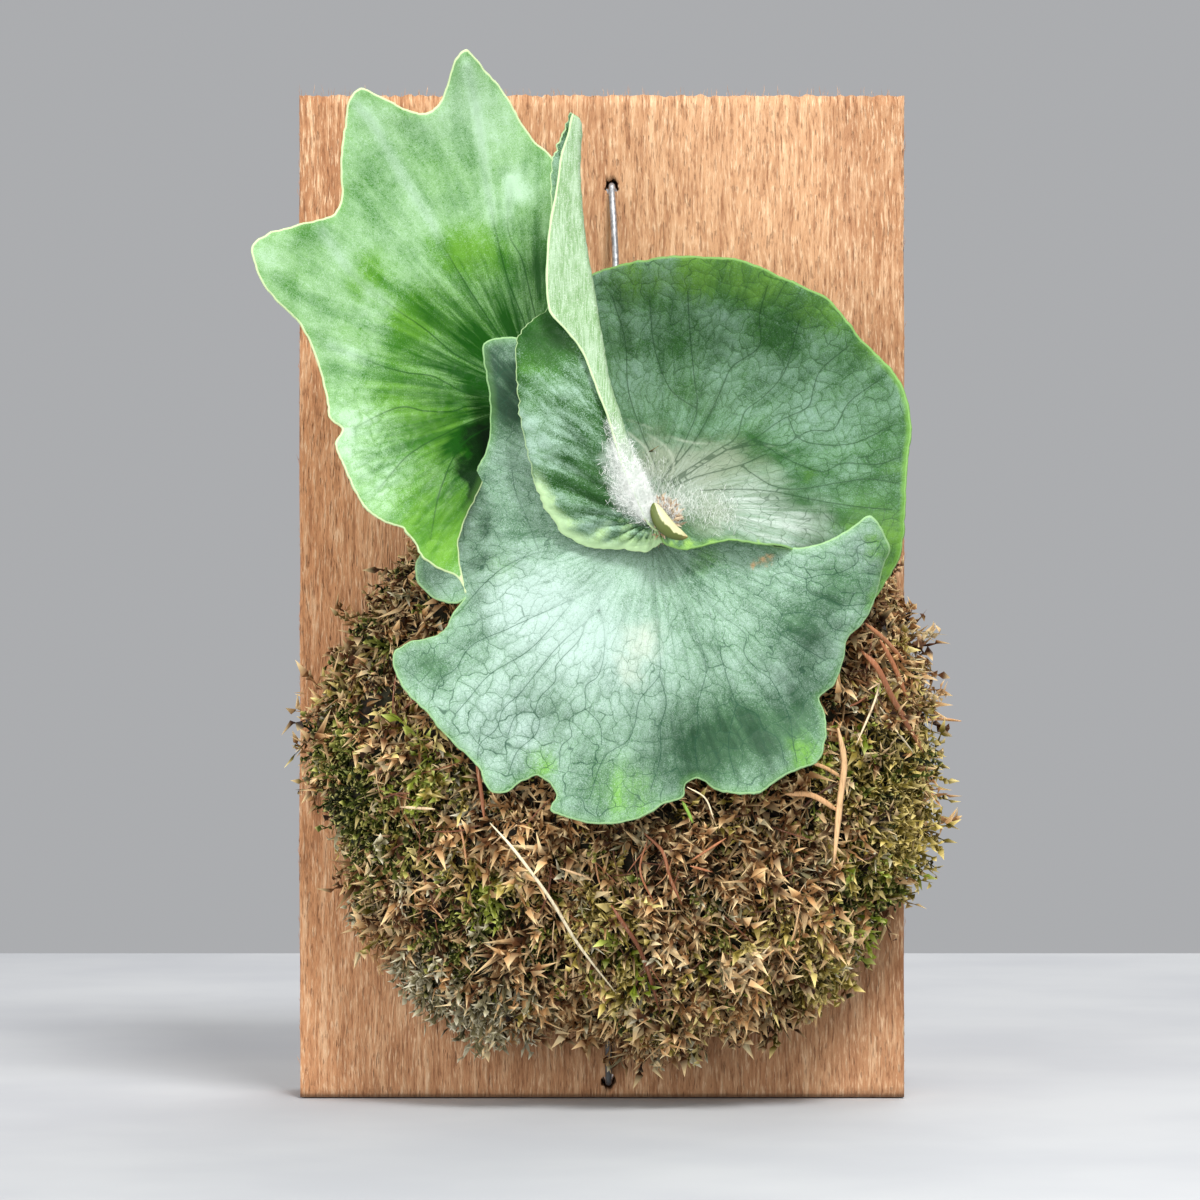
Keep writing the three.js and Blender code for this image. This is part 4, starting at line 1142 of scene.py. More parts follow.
ROUND_LOOK = {
    **COMMON_LOOK, "cell": 3.8, "long": 1.2, "fine": 0.55, "main": 0.6, "gloss": 0.5, "fine_width": 0.05,
    "deep": (44, 88, 36), "light": (72, 120, 56), "dark": (30, 64, 30), "bright": (96, 142, 52),
    "vein": (26, 60, 30), "frost": (136, 166, 150), "margin": (132, 176, 96), "dark_stroke": (40, 82, 44),
    "ridge": (196, 204, 184), "edge": (108, 158, 58), "edge_width": 2.0, "edge_strength": 0.65,
    "bloom": 0.31, "patchy": 2.2, "streaky": 0.6, "bloom_hidden_in_shade": 0.9,
    "bloom_spots": [(700, 350, 14, 0.05), (780, 390, 16, 0.25), (840, 440, 18, 0.15), (872, 530, 18, -0.8),
                    (740, 268, 24, -0.6), (650, 300, 10, -0.3), (860, 310, 16, -0.5), (640, 380, 9, 0.1)],
    # dark spots: painted shade, deepest in the bowl beside the folded frond
    "dark_spots": [(620, 340, 7, 0.6), (720, 400, 9, 0.45), (630, 300, 7, 0.5), (850, 395, 8, 0.3),
                   (712, 345, 9, 0.4)],
    "bright_spots": [(640, 272, 12, 1.0), (700, 266, 15, 1.5), (760, 272, 15, 1.5), (820, 300, 13, 1.2),
                     (870, 345, 8, 0.7), (810, 476, 4.5, 0.9), (878, 545, 16, 1.6), (900, 470, 6, 0.4)],
    "tints": [
        {"colour": (150, 162, 138), "spots": [(650, 460, 13, 0.9), (685, 470, 14, 1.0), (722, 466, 12, 0.8),
                                              (755, 480, 11, 0.5), (710, 510, 12, 0.8)]},
        {"colour": (206, 218, 208), "rays": 1, "spots": [(760, 520, 18, 0.6), (800, 532, 14, 0.55),
                                                         (738, 505, 12, 0.4), (640, 505, 8, 1.0),
                                                         (690, 490, 14, 0.5)]},
        {"colour": (160, 206, 100), "spots": [(690, 549, 3.4, 1.2), (712, 549, 3.0, 1.2),
                                              (735, 548, 2.6, 1.0), (672, 546, 2.4, 1.0),
                                              (756, 548, 2.2, 0.8)]},
    ],
    "edge_spots": [(905, 470, 34, 1.2), (895, 380, 22, 1.0), (900, 560, 20, 1.2), (700, 545, 22, 0.5)],
}
FRONT_LOOK = {
    **COMMON_LOOK, "cell": 5.0, "long": 1.3, "fine": 0.8, "main": 0.65, "gloss": 0.5, "main_width": 0.24,
    "deep": (62, 104, 66), "light": (98, 144, 98), "dark": (26, 60, 36), "bright": (118, 176, 66),
    "vein": (30, 72, 50), "frost": (184, 208, 197), "margin": (160, 200, 140),
    "dark_stroke": (84, 126, 100), "bloom": 0.36, "patchy": 1.1, "streaky": 0.6, "bloom_hidden_in_shade": 0.85,
    "main_from": (24, 52),
    "bloom_spots": [(560, 630, 32, 0.6), (625, 665, 22, 0.38), (500, 720, 20, 0.5), (735, 640, 14, -0.05),
                    (520, 605, 20, 0.45), (800, 730, 12, -0.4), (700, 745, 18, -0.25),
                    (840, 580, 14, -0.35), (430, 665, 9, -0.4), (505, 400, 16, -0.4),
                    (775, 690, 12, 0.25), (600, 550, 10, 0.1), (530, 745, 12, 0.3),
                    (750, 735, 22, -0.5), (800, 620, 10, -0.25)],
    # dark spots: painted shade on the strip under the folded frond, in the upright frond's shadow along its
    # edge, and on the lower right, which turns away from the light
    "dark_spots": [(665, 745, 26, 0.4), (715, 745, 30, 0.45), (770, 740, 28, 0.5), (500, 385, 22, 1.4),
                   (812, 632, 16, 0.55), (795, 695, 12, 0.4), (482, 560, 5, 0.7), (486, 525, 5, 0.7),
                   (428, 660, 10, 0.35), (835, 590, 9, 0.4), (600, 560, 10, 0.2), (560, 715, 9, 0.25)],
    "bright_spots": [(803, 752, 8, 1.2), (622, 790, 15, 0.8), (542, 762, 7, 0.9), (878, 545, 6, 1.0),
                     (868, 600, 5, 0.7), (705, 556, 8, 0.35), (640, 812, 6, 0.5), (500, 568, 6, 0.3)],
    "tints": [
        {"colour": (206, 212, 192), "spots": [(640, 640, 9, 0.55), (632, 672, 7, 0.4)]},
        {"colour": (206, 168, 122), "spots": [(763, 562, 2.4, 1.1), (755, 568, 1.7, 1.0),
                                              (772, 557, 1.7, 0.9)]},
    ],
}
print(len(UPRIGHT_LOOK), "values in a look")

# %% The open fronds
ROUND_RIDGES = [
    [(622, 420), (640, 425), (660, 434), (685, 443), (701, 445), (734, 442), (760, 447), (779, 450),
     (805, 464)],
    [(628, 434), (647, 452), (654, 476), (657, 495)],
    [(648, 436), (665, 448), (673, 462), (672, 478), (664, 492)],
]
FRONDS = {
    "frond_upright": {
        "slot": "bright_frond", "outline": UPRIGHT_OUTLINE, "depths": UPRIGHT_DEPTHS,
        "veins": UPRIGHT_VEINS, "origin": (540, 400), "cut": 1.2, "look": UPRIGHT_LOOK, "swell": 0.5,
        "groove": -0.45,
        "swelling": [0.12, (395, 470, 26, 0.9), (430, 530, 18, 0.5), (365, 410, 18, 0.5),
                     (450, 400, 16, 0.5), (470, 270, 18, 0.3), (370, 330, 16, 0.3)],
    },
    "frond_round": {
        "slot": "dark_frond", "outline": ROUND_OUTLINE, "depths": ROUND_DEPTHS, "veins": ROUND_VEINS,
        "ridges": ROUND_RIDGES, "origin": (655, 505), "cut": 3.6, "look": ROUND_LOOK, "swell": 0.16,
        "groove": 0.25, "swelling": [1.0],
        "wool": [(668, 505, 8, 1.0), (690, 510, 8, 0.8), (720, 515, 9, 0.4), (650, 480, 8, 0.5)],
    },
    "frond_front": {
        "slot": "pale_frond", "outline": FRONT_OUTLINE, "depths": FRONT_DEPTHS, "veins": FRONT_VEINS,
        "origin": (650, 530), "cut": 0.9, "look": FRONT_LOOK, "swell": 0.24,
        "groove": 0.3, "swelling": [0.8, (470, 740, 30, 0.4), (600, 780, 20, 0.3), (840, 590, 20, 0.5),
                                    (590, 610, 30, -0.55), (640, 560, 20, -0.3), (500, 500, 20, -0.2)],
    },
}


def leaf_piece(node, slot, sheet, swell, look):
    """Swells the small cells of a frond's sheet, gives it its finish and seats it."""
    finish = leaf_finish(slot, look)
    relief = relief_tree(look["cell"], look["long"])
    leaf = grown(node + "_leaf", sheet, relief, Height=swell * MM, Material=finish)
    bpy.data.objects.remove(sheet)
    seat(leaf, slot, node)
    return leaf


leaves = {}
for node, shape in FRONDS.items():
    sheet = open_frond(node + "_sheet", shape)
    leaves[node] = leaf_piece(node, shape["slot"], sheet, shape["swell"], shape["look"])

# %% [markdown]
# ## The folded frond
# The youngest frond is folded along its middle: the green upper side of one wing lies behind, and the
# other wing comes round the crease in front and shows its felted underside. It is lofted row by row from
# its foot to its tip. Each row runs from the free margin to the crease, round it, and back along the
# pale wing. The rows' few driving numbers are joined by smooth curves.

# %% Rows of the folded frond
FOLDED_ROWS = [  # crease x and z, margin x and z, reach of the pale wing, depth
    (16, 174.5, 18.5, 169, 1, 76), (15.5, 176, 13, 166.5, 1, 77), (15, 177.5, 5.5, 167, 1, 77.5),
    (14.5, 179.5, -3.5, 167.5, 1.2, 78), (13.5, 183, -11.5, 171.5, 1.6, 79), (12, 187, -16, 177.5, 1.8, 80),
    (10, 191.5, -20, 186, 2, 80.5), (8, 198, -22.5, 195.5, 2.2, 81), (6, 205.5, -24.5, 205.5, 2.4, 81),
    (3.5, 213, -25.5, 214.5, 2.8, 80), (1.5, 220, -26, 223.5, 3.6, 78.5), (0.5, 226.5, -26, 230.5, 5.5, 77),
    (-0.5, 232.5, -23.5, 234.5, 9, 76), (-1.5, 237.5, -19.5, 237.8, 12, 74.5),
    (-2, 241.5, -16, 240.8, 13, 73), (-3.5, 250, -15.5, 252, 12.2, 71.5), (-5.5, 262, -15, 265, 9.6, 69.5),
    (-6.5, 272.5, -15.5, 277, 7, 68), (-7, 282, -15, 285.5, 5, 67), (-6.8, 289, -13.5, 289.5, 3.6, 67),
    (-6.5, 294, -11.5, 294, 2.4, 67.5), (-7, 298, -9.5, 299.5, 1, 68),
]
FOLD_RADIUS = 1.3
FOLD_CENTRE = (16, 176)
MARGIN_TOOTH = 0.75
RIDGE_COUNT, RIDGE_HEIGHT = 26, 0.7
FOLDED_STEPS = {"rows": 7, "green": 26, "fold": 8, "pale": 9}


def folded_row(row):
    """One row of the folded sheet, x, depth and z from the green margin round to the pale one."""
    crease, margin, pale, depth = row[:2], row[2:4], row[4], row[5]
    length = np.linalg.norm(crease - margin)
    out = (crease - margin) / length
    tooth = noise.noise((*(margin / 1.9), 4)) + 0.7 * noise.noise((*(margin / 0.8), 1))
    hinge = crease - FOLD_RADIUS * out
    green = length - FOLD_RADIUS + MARGIN_TOOTH * tooth
    line = []
    for j in range(FOLDED_STEPS["green"]):
        t = 1 - j / FOLDED_STEPS["green"]
        p = hinge - out * green * t
        lean = green * (0.1 * math.sin(math.pi * t) - 0.2 * t)
        turn = math.atan2(p[1] - FOLD_CENTRE[1], p[0] - FOLD_CENTRE[0])
        uneven = noise.noise((p[0] / 9, p[1] / 9, 2)) * 2.5
        ridge = RIDGE_HEIGHT * math.sin(turn * RIDGE_COUNT + uneven) * math.sin(math.pi * t)
        line.append((p[0], depth - FOLD_RADIUS + lean + ridge, p[1]))
    for k in range(FOLDED_STEPS["fold"] + 1):
        turn = math.pi * (k / FOLDED_STEPS["fold"] - 0.5)
        p = hinge + out * FOLD_RADIUS * math.cos(turn)
        line.append((p[0], depth + FOLD_RADIUS * math.sin(turn), p[1]))
    for j in range(1, FOLDED_STEPS["pale"] + 1):
        t = j / FOLDED_STEPS["pale"]
        p = hinge - out * pale * t
        line.append((p[0], depth + FOLD_RADIUS + 0.25 * pale * t, p[1]))
    return line


print(len(FOLDED_ROWS), "rows by hand")

# %% The folded sheet
FOLDED_WOOL = [(612, 428, 4, 0.5), (617, 450, 6, 0.7), (625, 474, 9, 0.85), (636, 497, 10, 1.1),
               (647, 511, 6, 0.8)]
FAN_CENTRE, FAN_CUT = (45, 166), -1.5


def folded_frond():
    rows = np.array([folded_row(row) for row in through(FOLDED_ROWS, FOLDED_STEPS["rows"])])
    count, wide = rows.shape[:2]
    flat = rows.reshape(-1, 3)[:, [0, 2]]
    depth = rows.reshape(-1, 3)[:, 1]
    at = np.arange(count * wide).reshape(count, wide)
    a, b, c, d = [part.ravel() for part in (at[:-1, :-1], at[:-1, 1:], at[1:, 1:], at[1:, :-1])]
    triangles = np.vstack([np.column_stack([a, b, c]), np.column_stack([a, c, d])])
    steps_across = np.linalg.norm(np.diff(rows, axis=1), axis=2)
    across = np.cumsum(np.pad(steps_across, ((0, 0), (1, 0))), axis=1)
    along = np.cumsum(np.pad(np.linalg.norm(np.diff(rows[:, 0], axis=0), axis=1), (1, 0)))
    ends = np.minimum(along, along[-1] - along)[:, None] + 0.3
    rim = np.minimum(np.minimum(across, across[:, -1:] - across), ends).ravel()
    far = np.full(len(flat), FAR)
    wool = np.clip(fall(flat, FOLDED_WOOL), 0, 1) ** 1.6
    marks = {"rim": rim, "vein": far, "ridge": far, "wool": wool, "swell": np.ones(len(flat))}
    return sheet_piece("folded_sheet", flat, depth, triangles, marks, fan_map(flat, FAN_CENTRE, FAN_CUT))


FOLDED_LOOK = {
    **COMMON_LOOK, "cell": 3.6, "long": 1.6, "fine": 0.16, "main": 0.0, "gloss": 0.45, "streaky": 3.4,
    "patchy": 0.8, "deep": (28, 76, 18), "light": (58, 112, 34), "dark": (18, 66, 6),
    "bright": (88, 148, 40), "vein": (26, 64, 30), "frost": (168, 198, 180), "bloom": 0.24,
    "speck": 0.3, "dark_stroke": (24, 62, 30),
    "bloom_spots": [(560, 430, 18, 0.2), (545, 330, 18, -1.3), (560, 180, 18, 0.6),
                    (556, 240, 12, 0.3), (560, 385, 10, 0.1), (600, 520, 9, 0.2),
                    (540, 480, 6, 0.3)],
    # dark spots: painted shade on the green wing, which faces away from the light
    "dark_spots": [(540, 335, 13, 1.0), (590, 470, 12, 0.5), (600, 440, 9, 0.3), (565, 350, 7, 0.4),
                   (600, 500, 9, 0.5)],
    "bright_spots": [(528, 370, 6, 0.5), (558, 190, 16, 0.9), (556, 240, 12, 0.6)],
    "edge": (196, 228, 172), "edge_width": 6.0, "edge_strength": 1.0, "margin": (200, 226, 170),
    "edge_spots": [(545, 512, 15, 1.6), (575, 535, 18, 2.0), (612, 548, 18, 2.2), (650, 548, 16, 2.0)],
    "felt": (166, 192, 158), "felt_shade": (112, 150, 94),
    "tints": [
        {"colour": (184, 218, 154), "spots": [(630, 542, 5, 1.0), (600, 536, 5, 0.9), (655, 540, 4, 1.0),
                                              (570, 522, 3.5, 0.8), (550, 505, 2.5, 0.7)]},
        {"colour": (232, 238, 232), "spots": [(*spot[:3], spot[3] * 0.75) for spot in FOLDED_WOOL]},
    ],
}
folded_leaf = leaf_piece("frond_folded", "young_frond", folded_frond(), 0.15, FOLDED_LOOK)

# %% [markdown]
# ## The moss
# The root ball is wrapped in sheet moss. Its body is a dark lumpy mound from the same formula as the
# construction model. What the eye sees is thousands of small leafy strands, so a Geometry Nodes tree
# scatters them: a few strands of some sixty faces each are set on random points of the mound,
# lie along it or lean outward, and differ in size, turn and tone. Each kind of moss has its own zone.

# %% The mound's shape
MOSS_RIM = [
    (-50, 172), (-66, 153), (-78, 133), (-85, 113), (-84, 94), (-75, 79), (-71, 62), (-62, 47),
    (-51, 34), (-37, 25), (-16, 30), (0, 27), (12, 19), (26, 21), (38, 28), (56, 29), (68, 39),
    (80, 56), (92, 72), (97, 92), (97, 114), (93, 134), (87, 152), (80, 170), (66, 186), (44, 196),
    (16, 199), (-10, 196), (-33, 186),
]
MOSS_CENTRE = (5, 96)
MOSS_DEPTH = 62
MOSS_GAP = 0.3
LUMP_HEIGHT = 2.6
NECK_HEIGHT, NECK_RADIUS = 7, 18
CROWN_AT = (18, 175.5)

moss_rim = through(MOSS_RIM, 12, closed=True) - np.array(MOSS_CENTRE)
rim_turns = np.arctan2(moss_rim[:, 1], moss_rim[:, 0])
rim_order = np.argsort(rim_turns)
rim_turns, rim_reaches = rim_turns[rim_order], np.linalg.norm(moss_rim, axis=1)[rim_order]


def rim_reach(turns):
    """How far the mound's rim is from its centre in each direction."""
    return np.interp(turns, rim_turns, rim_reaches, period=2 * math.pi)


def mound_depth(x, z):
    """How far the mound stands out from the board at a place as seen."""
    across, up = np.asarray(x, float) - MOSS_CENTRE[0], np.asarray(z, float) - MOSS_CENTRE[1]
    share = np.minimum(np.hypot(across, up) / rim_reach(np.arctan2(up, across)), 1)
    slope = np.cos(np.arcsin(share ** (1 / 0.9)))
    broad = np.sin(x / 9 + 1.3) * np.sin(z / 8 + 0.7)
    fine = np.sin(x / 4.3 + z / 6.1) * np.sin(z / 4.7 - x / 7.3)
    neck = np.exp(-((x - CROWN_AT[0]) ** 2 + (z - CROWN_AT[1]) ** 2) / (2 * NECK_RADIUS ** 2))
    lumpy = MOSS_DEPTH + LUMP_HEIGHT * (broad + 0.7 * fine)
    return lumpy * slope ** 0.72 + NECK_HEIGHT * neck + MOSS_GAP


print(f"the moss stands {mound_depth(*MOSS_CENTRE):.0f} mm out")

# %% The mound
MOUND_RINGS, MOUND_SECTORS = 50, 160
MOUND_SHARE = 0.96
BACK_SHARE = 0.985
CLOD_HEIGHT, CLOD_SINK = 4.6, 2.6


def clods(place):
    """The small uneven lumps of the ground, about as high as they are deep."""
    coarse, fine = [noise.noise([part / size for part in place]) for size in (6, 2.4)]
    return coarse + 0.5 * fine


def mound_mesh(material):
    turns = np.linspace(-math.pi, math.pi, MOUND_SECTORS, endpoint=False)
    turns = np.tile(turns, (MOUND_RINGS, 1)).ravel()
    outs = np.sin(np.linspace(0, math.pi / 2, MOUND_RINGS)[1:]) ** 0.9
    outs = np.repeat(np.append(outs, BACK_SHARE), MOUND_SECTORS)
    reach = rim_reach(turns) * outs * MOUND_SHARE
    x = np.concatenate([[0], reach * np.cos(turns), [0]]) + MOSS_CENTRE[0]
    z = np.concatenate([[0], reach * np.sin(turns), [0]]) + MOSS_CENTRE[1]
    depth = mound_depth(x, z)
    depth[-2 * MOUND_SECTORS - 1:] = MOSS_GAP + 0.2
    depth[-MOUND_SECTORS - 1:] = MOSS_GAP
    lumps = np.array([clods(place) for place in zip(x, depth, z)]) * CLOD_HEIGHT - CLOD_SINK
    depth = depth + np.where(depth > 4, lumps, 0)
    points = in_space(np.column_stack([x, depth, z]))
    made = mesh_piece("moss_mound", points, shell_faces(MOUND_RINGS, MOUND_SECTORS), material)
    return made, np.column_stack([x, z]), depth


def earth_finish():
    t = Finish("dark_moss_ground")
    crumb = t.noise(t.place, 500.0, 4.0, 0.6)
    dark = t.mix(t.noise(t.place, 60.0).ease(0.4, 0.6), (30, 22, 12), (34, 34, 14))
    colour = t.mix(crumb.ease(0.5, 0.75), dark, (74, 56, 34))
    return t.done(colour, 0.9 + crumb * 0.1, (0.8, 1.0, crumb))


mound, mound_flat, mound_out = mound_mesh(earth_finish())
seat(mound, "moss", "moss")

# %% [markdown]
# The kinds of moss grow in patches. Each patch is a soft spot placed on the view, its edge made
# ragged by noise, and what is left over is brown. A number for each kind is stored on the mound's points.

# %% Patches of moss
PATCHES = {
    "green": [(375, 640, 16, 0.6), (330, 770, 22, 1.3), (385, 830, 24, 1.6), (350, 720, 14, 0.5),
              (468, 900, 12, 1.3), (535, 945, 11, 1.2), (470, 950, 12, 0.6), (860, 885, 12, 1.0),
              (880, 780, 13, 0.5), (600, 830, 9, 0.6), (400, 560, 12, 0.8), (720, 930, 8, 0.6),
              (800, 1000, 10, 0.4), (640, 990, 8, 0.4), (430, 970, 12, 0.4)],
    "gold": [(885, 740, 18, 0.9), (900, 830, 20, 1.2), (850, 780, 16, 0.6), (780, 900, 14, 0.6),
             (905, 640, 10, 0.6), (440, 780, 14, 0.9), (590, 900, 16, 0.7), (640, 960, 12, 0.8),
             (420, 700, 12, 0.5), (700, 900, 12, 0.4), (830, 960, 14, 0.8), (520, 870, 10, 0.5),
             (680, 1010, 10, 0.5), (360, 640, 12, 0.4)],
    "fresh": [(437, 765, 8, 1.2), (492, 892, 6, 1.0), (620, 935, 6, 0.8), (655, 905, 5, 1.0),
              (840, 920, 8, 1.2), (828, 735, 5, 1.4), (705, 935, 6, 0.8), (880, 700, 6, 0.6),
              (590, 975, 5, 0.7), (500, 850, 4, 0.9), (385, 790, 6, 0.5), (870, 860, 7, 0.9)],
    "pale": [(440, 965, 10, 1.0), (470, 1000, 12, 1.5), (410, 940, 8, 0.9), (360, 905, 9, 1.1),
             (500, 1010, 9, 0.8), (345, 870, 8, 0.5), (520, 990, 8, 0.4), (300, 760, 7, 0.4)],
}

print(sum(len(places) for places in PATCHES.values()), "spots by hand")

# %% Where moss can grow
CLEAR_ROOM = 6
CROWN_ROOM, CROWN_REACH = 24, 26
OPEN_ROOM = 30.0
COVER_EDGE = 16
SPRIG_OUT, SPRIG_TOP = 34, 168
FROND_RIMS = [(shape["depths"], through(shape["outline"], 3, closed=True)) for shape in FRONDS.values()]


def covered(flat):
    """How deep a place lies behind the fronds, from 0 in the open to 1."""
    cover = np.zeros(len(flat))
    for _, rim in FROND_RIMS:
        cover = np.maximum(cover, within(flat, rim) * np.clip(nearest(flat, rim) / COVER_EDGE, 0, 1))
    return cover


def room_behind(flat, out):
    """How far the nearest frond in front of a place is from it, in millimetres."""
    room = np.full(len(flat), OPEN_ROOM)
    for depths, rim in FROND_RIMS:
        gap = plate_through(depths)(flat) - out
        room = np.where(within(flat, rim), np.minimum(room, gap), room)
    return room


wander = np.array([[noise.noise((x / 9, z / 9, n)) for n in (6, 26)] for x, z in mound_flat]) * 9
room = room_behind(mound_flat, mound_out)
by_crown = np.exp(-np.sum((mound_flat - CROWN_AT) ** 2, axis=1) / (2 * CROWN_REACH ** 2))
hidden = covered(mound_flat) * np.clip(1.6 * by_crown - 0.15, 0.2, 1)
places = np.column_stack([mound_flat, mound_out])
clumps = np.array([noise.noise(place / 5 + 9) + 0.6 * noise.noise(place / 2.6) for place in places])
in_front = np.where(mound_out > MOSS_GAP + 0.1, 1.0, 0.0)
open_share = in_front * np.clip((room - CLEAR_ROOM - CROWN_ROOM * by_crown) / 8, 0, 1) * (1 - hidden)
open_share = open_share * np.clip(1.1 + 3.2 * clumps, 0.03, 1.9)
left_over = np.ones(len(mound_flat))
for kind in ("fresh", "pale", "green", "gold"):
    share = np.clip(fall(mound_flat + wander, PATCHES[kind]) * 1.6, 0, 1) * left_over
    left_over = left_over - share * 0.85
    strays = 0.05 if kind != "fresh" else 0.0
    store(mound.data, kind, (share + strays) * open_share)
store(mound.data, "brown", left_over * open_share)
low_rim = np.clip((SPRIG_OUT - mound_out) / 16, 0, 1) * np.clip((SPRIG_TOP - mound_flat[:, 1]) / 6, 0, 1)
store(mound.data, "sprigs", open_share * low_rim)
store(mound.data, "cramped", 1 - np.clip(room / 24, 0.2, 1) * (1 - 0.7 * hidden * by_crown))
print("moss kinds:", ", ".join([*PATCHES, "brown"]))

# %% [markdown]
# A strand is built from slim leaves: the stem is three of them end to end, and more stand out from
# its sides. Six strands that differ are enough for a kind, because size and turn vary where they are set.
# The leaves are closed bodies of six faces, so that the thousands of copies stay light.

# %% Strands
def spindle(shape, base, middle, tip, half_width, side, tone=1.0):
    """Adds a leaf to a shape, which is its points, faces and tip shares: a slim closed body with three
    sides, bent where its middle lies."""
    points, faces, tips = shape
    first = len(points)
    under = (tip - base).cross(side).normalized() * half_width * 0.5
    points += [base, middle + side * half_width, middle - side * half_width, middle + under, tip]
    corners = ((0, 1, 3), (0, 3, 2), (0, 2, 1), (4, 3, 1), (4, 2, 3), (4, 1, 2))
    faces += [tuple(first + corner for corner in face) for face in corners]
    tips += [0.0, tone * 0.5, tone * 0.5, tone * 0.4, tone]


def strand(shape, draw, kind):
    """One strand along +Z in millimetres: a curved stem with curled, pointed leaves up its sides."""

    def any_way(depth=1.0):
        return Vector((draw.uniform(-1, 1), draw.uniform(-1, 1), draw.uniform(-1, 1) * depth))

    bend, twist = any_way(0) * kind["bend"], any_way(0) * kind["bend"]
    length = kind["length"] * draw.uniform(0.85, 1.2)

    def stem(t):
        return Vector((0, 0, length * t)) + bend * t * t + twist * math.sin(math.pi * t) * 0.5

    for k in range(3):
        a, b = stem(k / 3), stem(min((k + 1.3) / 3, 1.05))
        spindle(shape, a, (a + b) / 2, b, kind["stem"], Vector((1, 0, 0)), 0.6)
    for k in range(kind["leaves"]):
        t = (k + 0.7) / kind["leaves"]
        turn = k * kind["turn"] + draw.uniform(-0.5, 0.5)
        out = Vector((math.cos(turn), math.sin(turn) * kind["round"], 0))
        size = kind["leaf"] * (1 - 0.4 * t) * draw.uniform(0.65, 1.3)
        aim = (out * kind["spread"] + Vector((0, 0, 1))).normalized()
        tip = stem(t) + (aim + any_way() * kind["curl"]) * size
        middle = stem(t) + aim * size * 0.5 + out * size * 0.16
        side = aim.cross(out + any_way() * 0.5).normalized()
        spindle(shape, stem(t), middle, tip, kind["width"] * draw.uniform(0.7, 1.25), side)


def blade(shape, draw, length, half_width, bow):
    """A slim bowed blade along +Z in millimetres, for scales, hairs and fibres."""
    long = length * draw.uniform(0.7, 1.3)
    sway = Vector((draw.uniform(-1, 1), draw.uniform(-1, 1), 0)) * bow
    middle = Vector((0, 0, long * 0.5)) + sway
    spindle(shape, Vector((0, 0, 0)), middle, Vector((0, 0, long)) - sway, half_width, Vector((1, 0, 0)))


def shapes_to_scatter(name, count, seed, build, *sizes):
    """A collection of shapes that differ, each built from the same sizes."""
    group = bpy.data.collections.new(name + "_shapes")
    bpy.context.scene.collection.children.link(group)
    draw = random.Random(seed)
    for k in range(count):
        points, faces, tips = [], [], []
        build((points, faces, tips), draw, *sizes)
        mesh = bpy.data.meshes.new(f"{name}_{k}")
        mesh.from_pydata([p * MM for p in points], [], faces)
        store(mesh, "tip", tips)
        group.objects.link(bpy.data.objects.new(f"{name}_{k}", mesh))
    return group


STRAND = {"length": 8.5, "bend": 4.0, "leaves": 7, "turn": 2.5, "round": 0.7, "leaf": 3.3, "spread": 0.9,
          "curl": 0.5, "width": 0.6, "stem": 0.34}
KINDS = {
    "green": {**STRAND, "length": 6.0, "bend": 1.8, "leaf": 2.3, "spread": 1.3, "curl": 0.25, "width": 0.56,
              "round": 0.9},
    "gold": {**STRAND, "length": 9.5, "leaf": 2.5, "curl": 0.7, "turn": 2.9, "width": 0.7, "spread": 1.1,
             "leaves": 8},
    "fresh": {**STRAND, "length": 8.0, "leaf": 3.2, "turn": 2.9, "width": 0.75, "bend": 2.8},
    "pale": {**STRAND, "length": 8.0, "leaf": 3.2, "spread": 1.1, "width": 0.52, "stem": 0.4, "bend": 2.4},
    "brown": {**STRAND, "length": 9.0, "leaf": 3.1, "curl": 1.2, "width": 0.8, "bend": 5.5, "spread": 1.1,
              "leaves": 8},
}
print(len(KINDS), "kinds of strand")

# %% [markdown]
# One geometry tree scatters everything small on this object: moss, scales, wool and torn fibres. It sets
# points on the ground's faces, denser where a stored share is higher, turns a shape to each, and makes the
# copies real. Spread, Outward and Sag are the three directions that a shape's aim is summed from.

# %% Scattering tree
SCATTER_SIZES = ("Density", "Outward", "Spread", "Sag", "Least", "Most")


